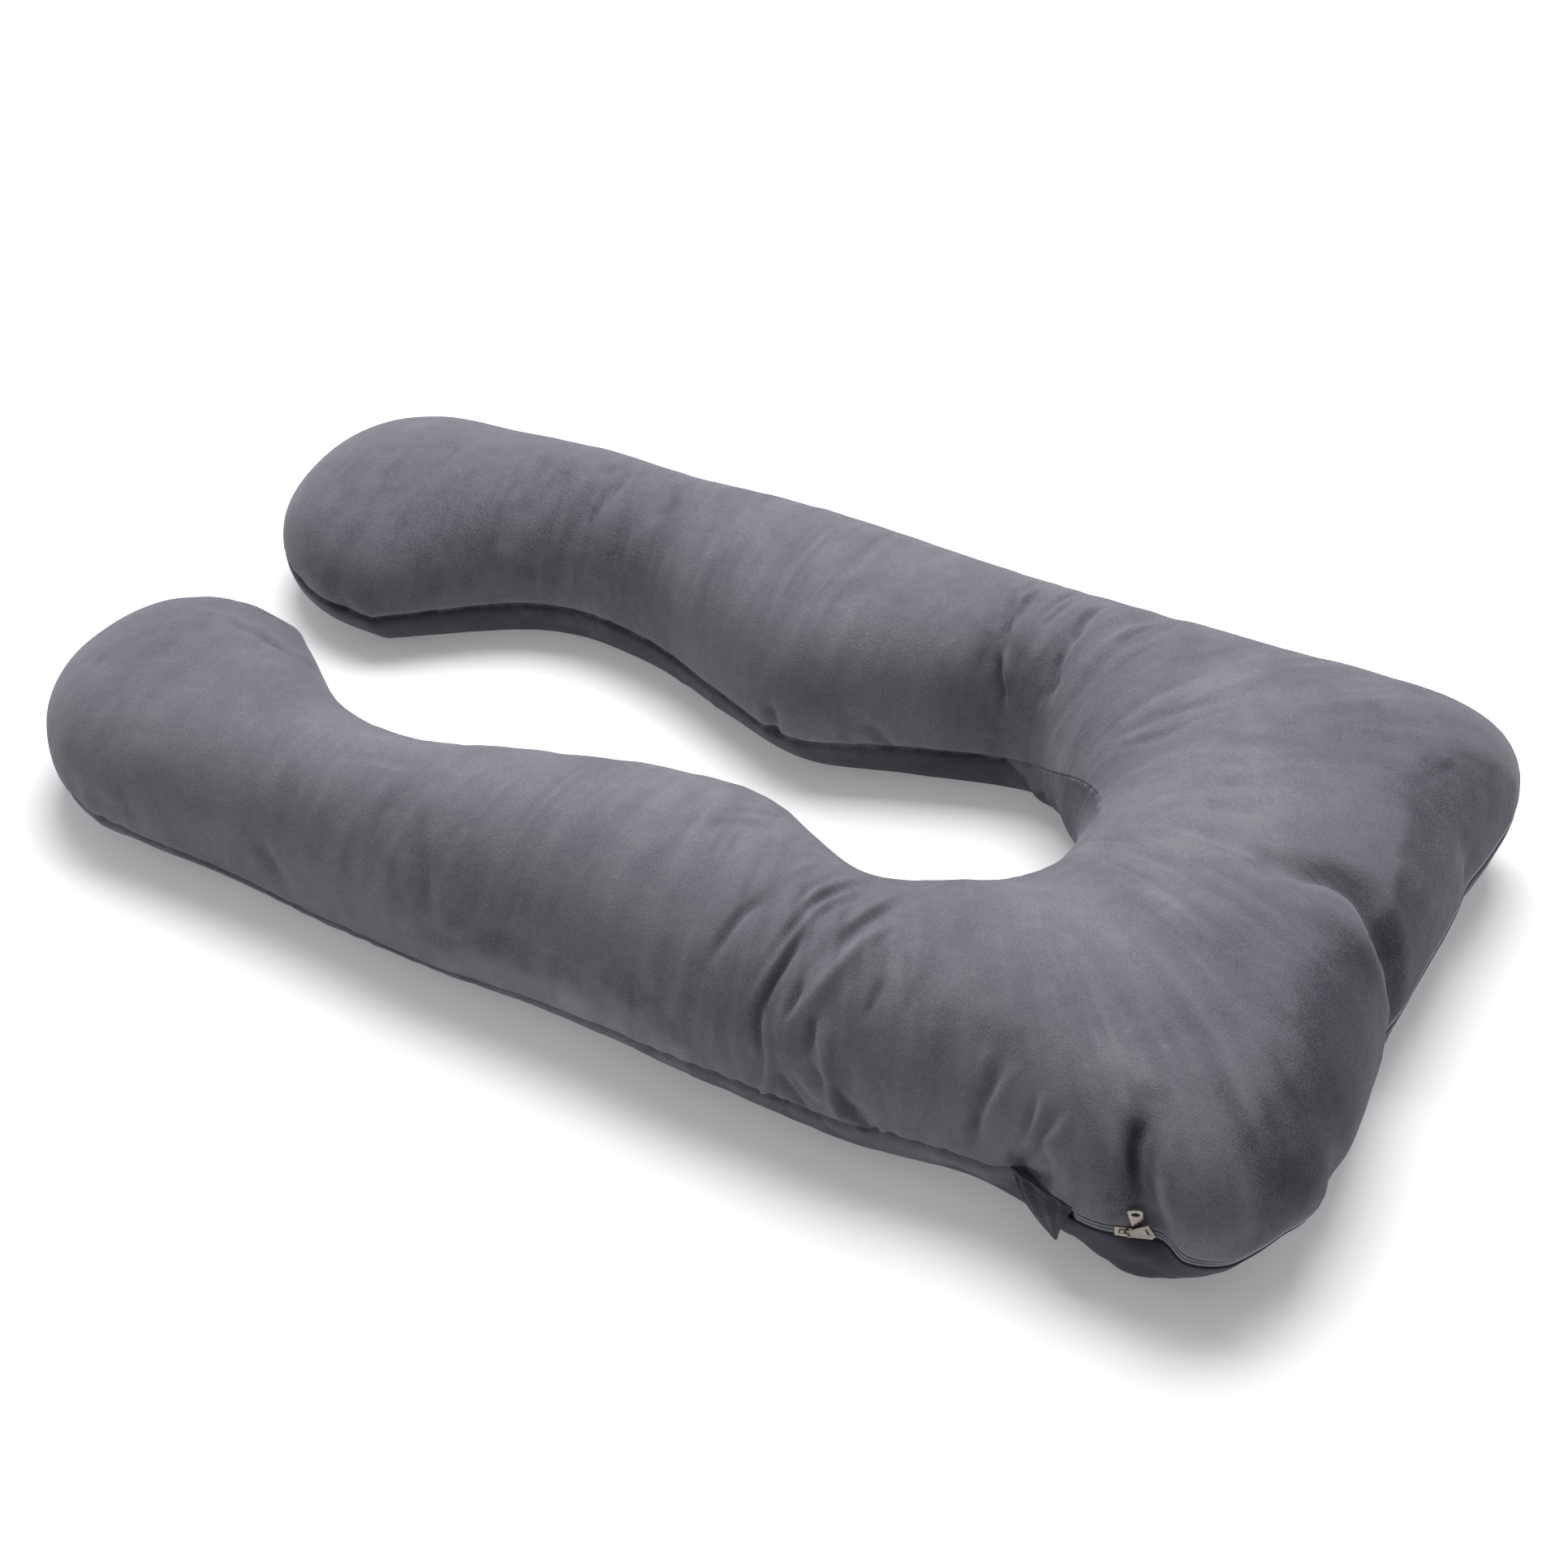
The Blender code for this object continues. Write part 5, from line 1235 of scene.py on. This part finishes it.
class Nodes:
    """Short calls for wiring one material."""

    def __init__(self, name):
        self.material = bpy.data.materials.new(name)
        self.material.use_nodes = True
        self.tree = self.material.node_tree
        self.shader = self.tree.nodes["Principled BSDF"]
        self.place = self.add("ShaderNodeTexCoord").outputs["Object"]

    def add(self, kind, **settings):
        """A new node with some of its settings."""
        node = self.tree.nodes.new(kind)
        for key, value in settings.items():
            setattr(node, key, value)
        return node

    def set(self, **sockets):
        """Sets inputs of the shader; an underscore in a name stands for a space."""
        for name, value in sockets.items():
            self.shader.inputs[name.replace("_", " ")].default_value = value

    def join(self, source, target):
        """Wires an output to an input."""
        self.tree.links.new(source, target)

    def noise(self, scale, detail, roughness, distortion=0.0):
        """Noise over the pillow."""
        node = self.add("ShaderNodeTexNoise")
        self.join(self.place, node.inputs["Vector"])
        node.inputs["Scale"].default_value = scale
        node.inputs["Detail"].default_value = detail
        node.inputs["Roughness"].default_value = roughness
        node.inputs["Distortion"].default_value = distortion
        return node.outputs["Fac"]

    def math(self, operation, first, second):
        """One sum with a socket and a number, or with two sockets."""
        node = self.add("ShaderNodeMath", operation=operation)
        for socket, value in zip(node.inputs, (first, second)):
            if isinstance(value, (int, float)):
                socket.default_value = value
            else:
                self.join(value, socket)
        return node.outputs[0]

    def spread(self, value, low, high, new_low=0.0, new_high=1.0):
        """A value moved softly from one range to another."""
        node = self.add("ShaderNodeMapRange", interpolation_type="SMOOTHSTEP")
        self.join(value, node.inputs["Value"])
        numbers = {"From Min": low, "From Max": high, "To Min": new_low, "To Max": new_high}
        for name, number in numbers.items():
            node.inputs[name].default_value = number
        return node.outputs["Result"]

    def mix(self, share, first, second):
        """A share between two colours or sockets."""
        node = self.add("ShaderNodeMix", data_type="RGBA")
        factor, first_in, second_in = node.inputs[0], node.inputs[6], node.inputs[7]
        for socket, value in ((factor, share), (first_in, first), (second_in, second)):
            if isinstance(value, (int, float)):
                socket.default_value = value
            elif isinstance(value, tuple):
                socket.default_value = (*value, 1.0)
            else:
                self.join(value, socket)
        return node.outputs[2]

    def bump(self, height, strength, distance, under=None):
        """A relief on top of another one."""
        node = self.add("ShaderNodeBump")
        node.inputs["Strength"].default_value = strength
        node.inputs["Distance"].default_value = distance
        self.join(height, node.inputs["Height"])
        if under is not None:
            self.join(under, node.inputs["Normal"])
        return node.outputs["Normal"]


def velvet():
    """Short-pile velvet: the pile lies light or dark in brushed patches, takes painted shade and painted
    highlight from the cover's shade attribute, and stands out as a fine grain.
    """
    made = Nodes("velvet")
    # The attribute holds brushed pile together with painted shade and painted highlight.
    lay_and_shade = made.add("ShaderNodeAttribute", attribute_name="pile_and_shade").outputs["Fac"]
    patterns = {
        name: made.noise(scale, detail, roughness, distortion=distortion)
        for name, (scale, detail, roughness, distortion, _) in VELVET_PATTERNS.items()
    }
    for name, (*_, strength) in VELVET_PATTERNS.items():
        change = made.math("SUBTRACT", patterns[name], 0.5)
        lay_and_shade = made.math("ADD", lay_and_shade, made.math("MULTIPLY", change, strength))
    dark, light = (made.spread(lay_and_shade, *limits) for limits in VELVET_LIMITS)
    made.join(
        made.mix(light, made.mix(dark, VELVET_DARK_AND_SHADED, VELVET), VELVET_BRUSHED_AND_LIT), made.shader.inputs["Base Color"]
    )
    made.set(Roughness=0.9, Sheen_Weight=0.30, Sheen_Roughness=0.5, Specular_IOR_Level=0.15)
    made.set(Sheen_Tint=VELVET_SHEEN)
    relief = None
    for name, (strength, distance) in VELVET_RELIEF.items():
        relief = made.bump(patterns[name], strength, distance, relief)
    made.join(relief, made.shader.inputs["Normal"])
    return made.material


def plain_finish(name, colors, grain, relief, settings):
    """A finish that drifts between two colours, with a fine relief from the same pattern, and its pattern."""
    made = Nodes(name)
    pattern = made.noise(*grain)
    made.join(made.mix(pattern, *colors), made.shader.inputs["Base Color"])
    made.set(**settings)
    if relief:
        made.join(made.bump(pattern, *relief), made.shader.inputs["Normal"])
    return made, pattern


def gunmetal():
    """Dark warm metal that is worn smoother in places."""
    made, wear = plain_finish("gunmetal", METAL_COLORS, METAL_GRAIN, METAL_RELIEF, {"Metallic": 1.0})
    made.join(made.spread(wear, *METAL_WEAR), made.shader.inputs["Roughness"])
    return made.material


# ---- Building -----------------------------------------------------------------------------------------

def aim_camera():
    """The camera that looks at the pillow from its near side."""
    camera = bpy.data.objects.new("camera", bpy.data.cameras.new("camera"))
    bpy.context.scene.collection.objects.link(camera)
    turn, lift = math.radians(VIEW_AZIMUTH), math.radians(VIEW_ELEVATION)
    back = Vector((math.sin(turn) * math.cos(lift), -math.cos(turn) * math.cos(lift), math.sin(lift)))
    camera.location = Vector(VIEW_TARGET) - Vector(CENTRE) + back * VIEW_DISTANCE
    camera.rotation_euler = (-back).to_track_quat("-Z", "Y").to_euler()
    camera.data.lens = LENS
    camera.data.clip_end = 50
    bpy.context.scene.camera = camera


def soft_light(name, place, target, size, power):
    """A rectangular lamp turned towards a place."""
    data = bpy.data.lights.new(name, "AREA")
    data.shape = "RECTANGLE"
    data.size, data.size_y = size
    data.energy = power
    lamp = bpy.data.objects.new(name, data)
    bpy.context.scene.collection.objects.link(lamp)
    lamp.location = place
    lamp.rotation_euler = (Vector(target) - Vector(place)).to_track_quat("-Z", "Y").to_euler()


def studio():
    """The floor, the lights and the sky."""
    glow = {"Roughness": 0.7, "Emission Strength": FLOOR_GLOW, "Emission Color": (1.0, 1.0, 1.0, 1.0)}
    mesh = bmesh.new()
    bmesh.ops.create_grid(mesh, x_segments=1, y_segments=1, size=FLOOR_SIZE)
    bmesh.ops.translate(mesh, verts=mesh.verts, vec=(0, 0, -FLOOR_DROP))
    data = bpy.data.meshes.new("floor")
    mesh.to_mesh(data)
    mesh.free()
    floor = bpy.data.objects.new("floor", data)
    floor.data.materials.append(plain_finish("floor", FLOOR_COLORS, FLOOR_GRAIN, None, glow)[0].material)
    bpy.context.scene.collection.objects.link(floor)
    for name, settings in LIGHTS.items():
        soft_light(name, *settings)
    world = bpy.data.worlds.new("studio")
    world.use_nodes = True
    background = world.node_tree.nodes["Background"]
    background.inputs["Color"].default_value = SKY_COLOR
    background.inputs["Strength"].default_value = SKY_STRENGTH
    bpy.context.scene.world = world
    bpy.context.scene.view_settings.view_transform = "Standard"


def build():
    """Every piece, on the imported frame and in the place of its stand-in."""
    aim_camera()
    studio()
    cloth, metal = velvet(), gunmetal()
    woven = {"Roughness": 0.8, "Sheen Weight": 0.2}
    nylon = {"Roughness": 0.42, "Specular IOR Level": 0.5}
    tape = plain_finish("zip_tape", TAPE_COLORS, TAPE_GRAIN, TAPE_RELIEF, woven)[0].material
    coil = plain_finish("zip_coil", COIL_COLORS, COIL_GRAIN, COIL_RELIEF, nylon)[0].material
    rings, line, shades = dressed_rings()
    cover = finish_mesh("cover_dressed", rolled_grid(rings, shades), cloth)
    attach(cover, "root")
    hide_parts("cover")

    flap_rings = folded_flap(line)
    # The flap carries the same painted shade at every point.
    flap = finish_mesh("flap", rolled_grid(flap_rings, np.full(flap_rings.shape[:2], FLAP_SHADE)), cloth)
    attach(flap, "root")
    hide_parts("cover")

    start = float(np.interp(ZIP_FROM - ZIP_TUCK, line["along"], line["steps"]))
    stop = float(np.interp(ZIP_TO + ZIP_TUCK, line["along"], line["steps"]))
    steps = np.arange(start, stop, STRIP_STEP)
    for side, sign in (("upper", 1), ("lower", -1)):
        made = finish_mesh(f"tape_{side}", rolled_grid(strip_rings(line, steps, sign)), tape)
        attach(made, "root")
        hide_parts(f"zip_tape_{side}")
        made = teeth(f"coil_{side}", line, sign, start + COIL_INSET, stop - COIL_INSET, coil)
        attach(made, "root")
        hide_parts(f"zip_teeth_{side}")
    for node in ("zip_slider_near", "zip_slider_far", "zip_pull_near", "zip_pull_far"):
        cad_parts[node].data.materials.clear()
        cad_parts[node].data.materials.append(metal)


build()
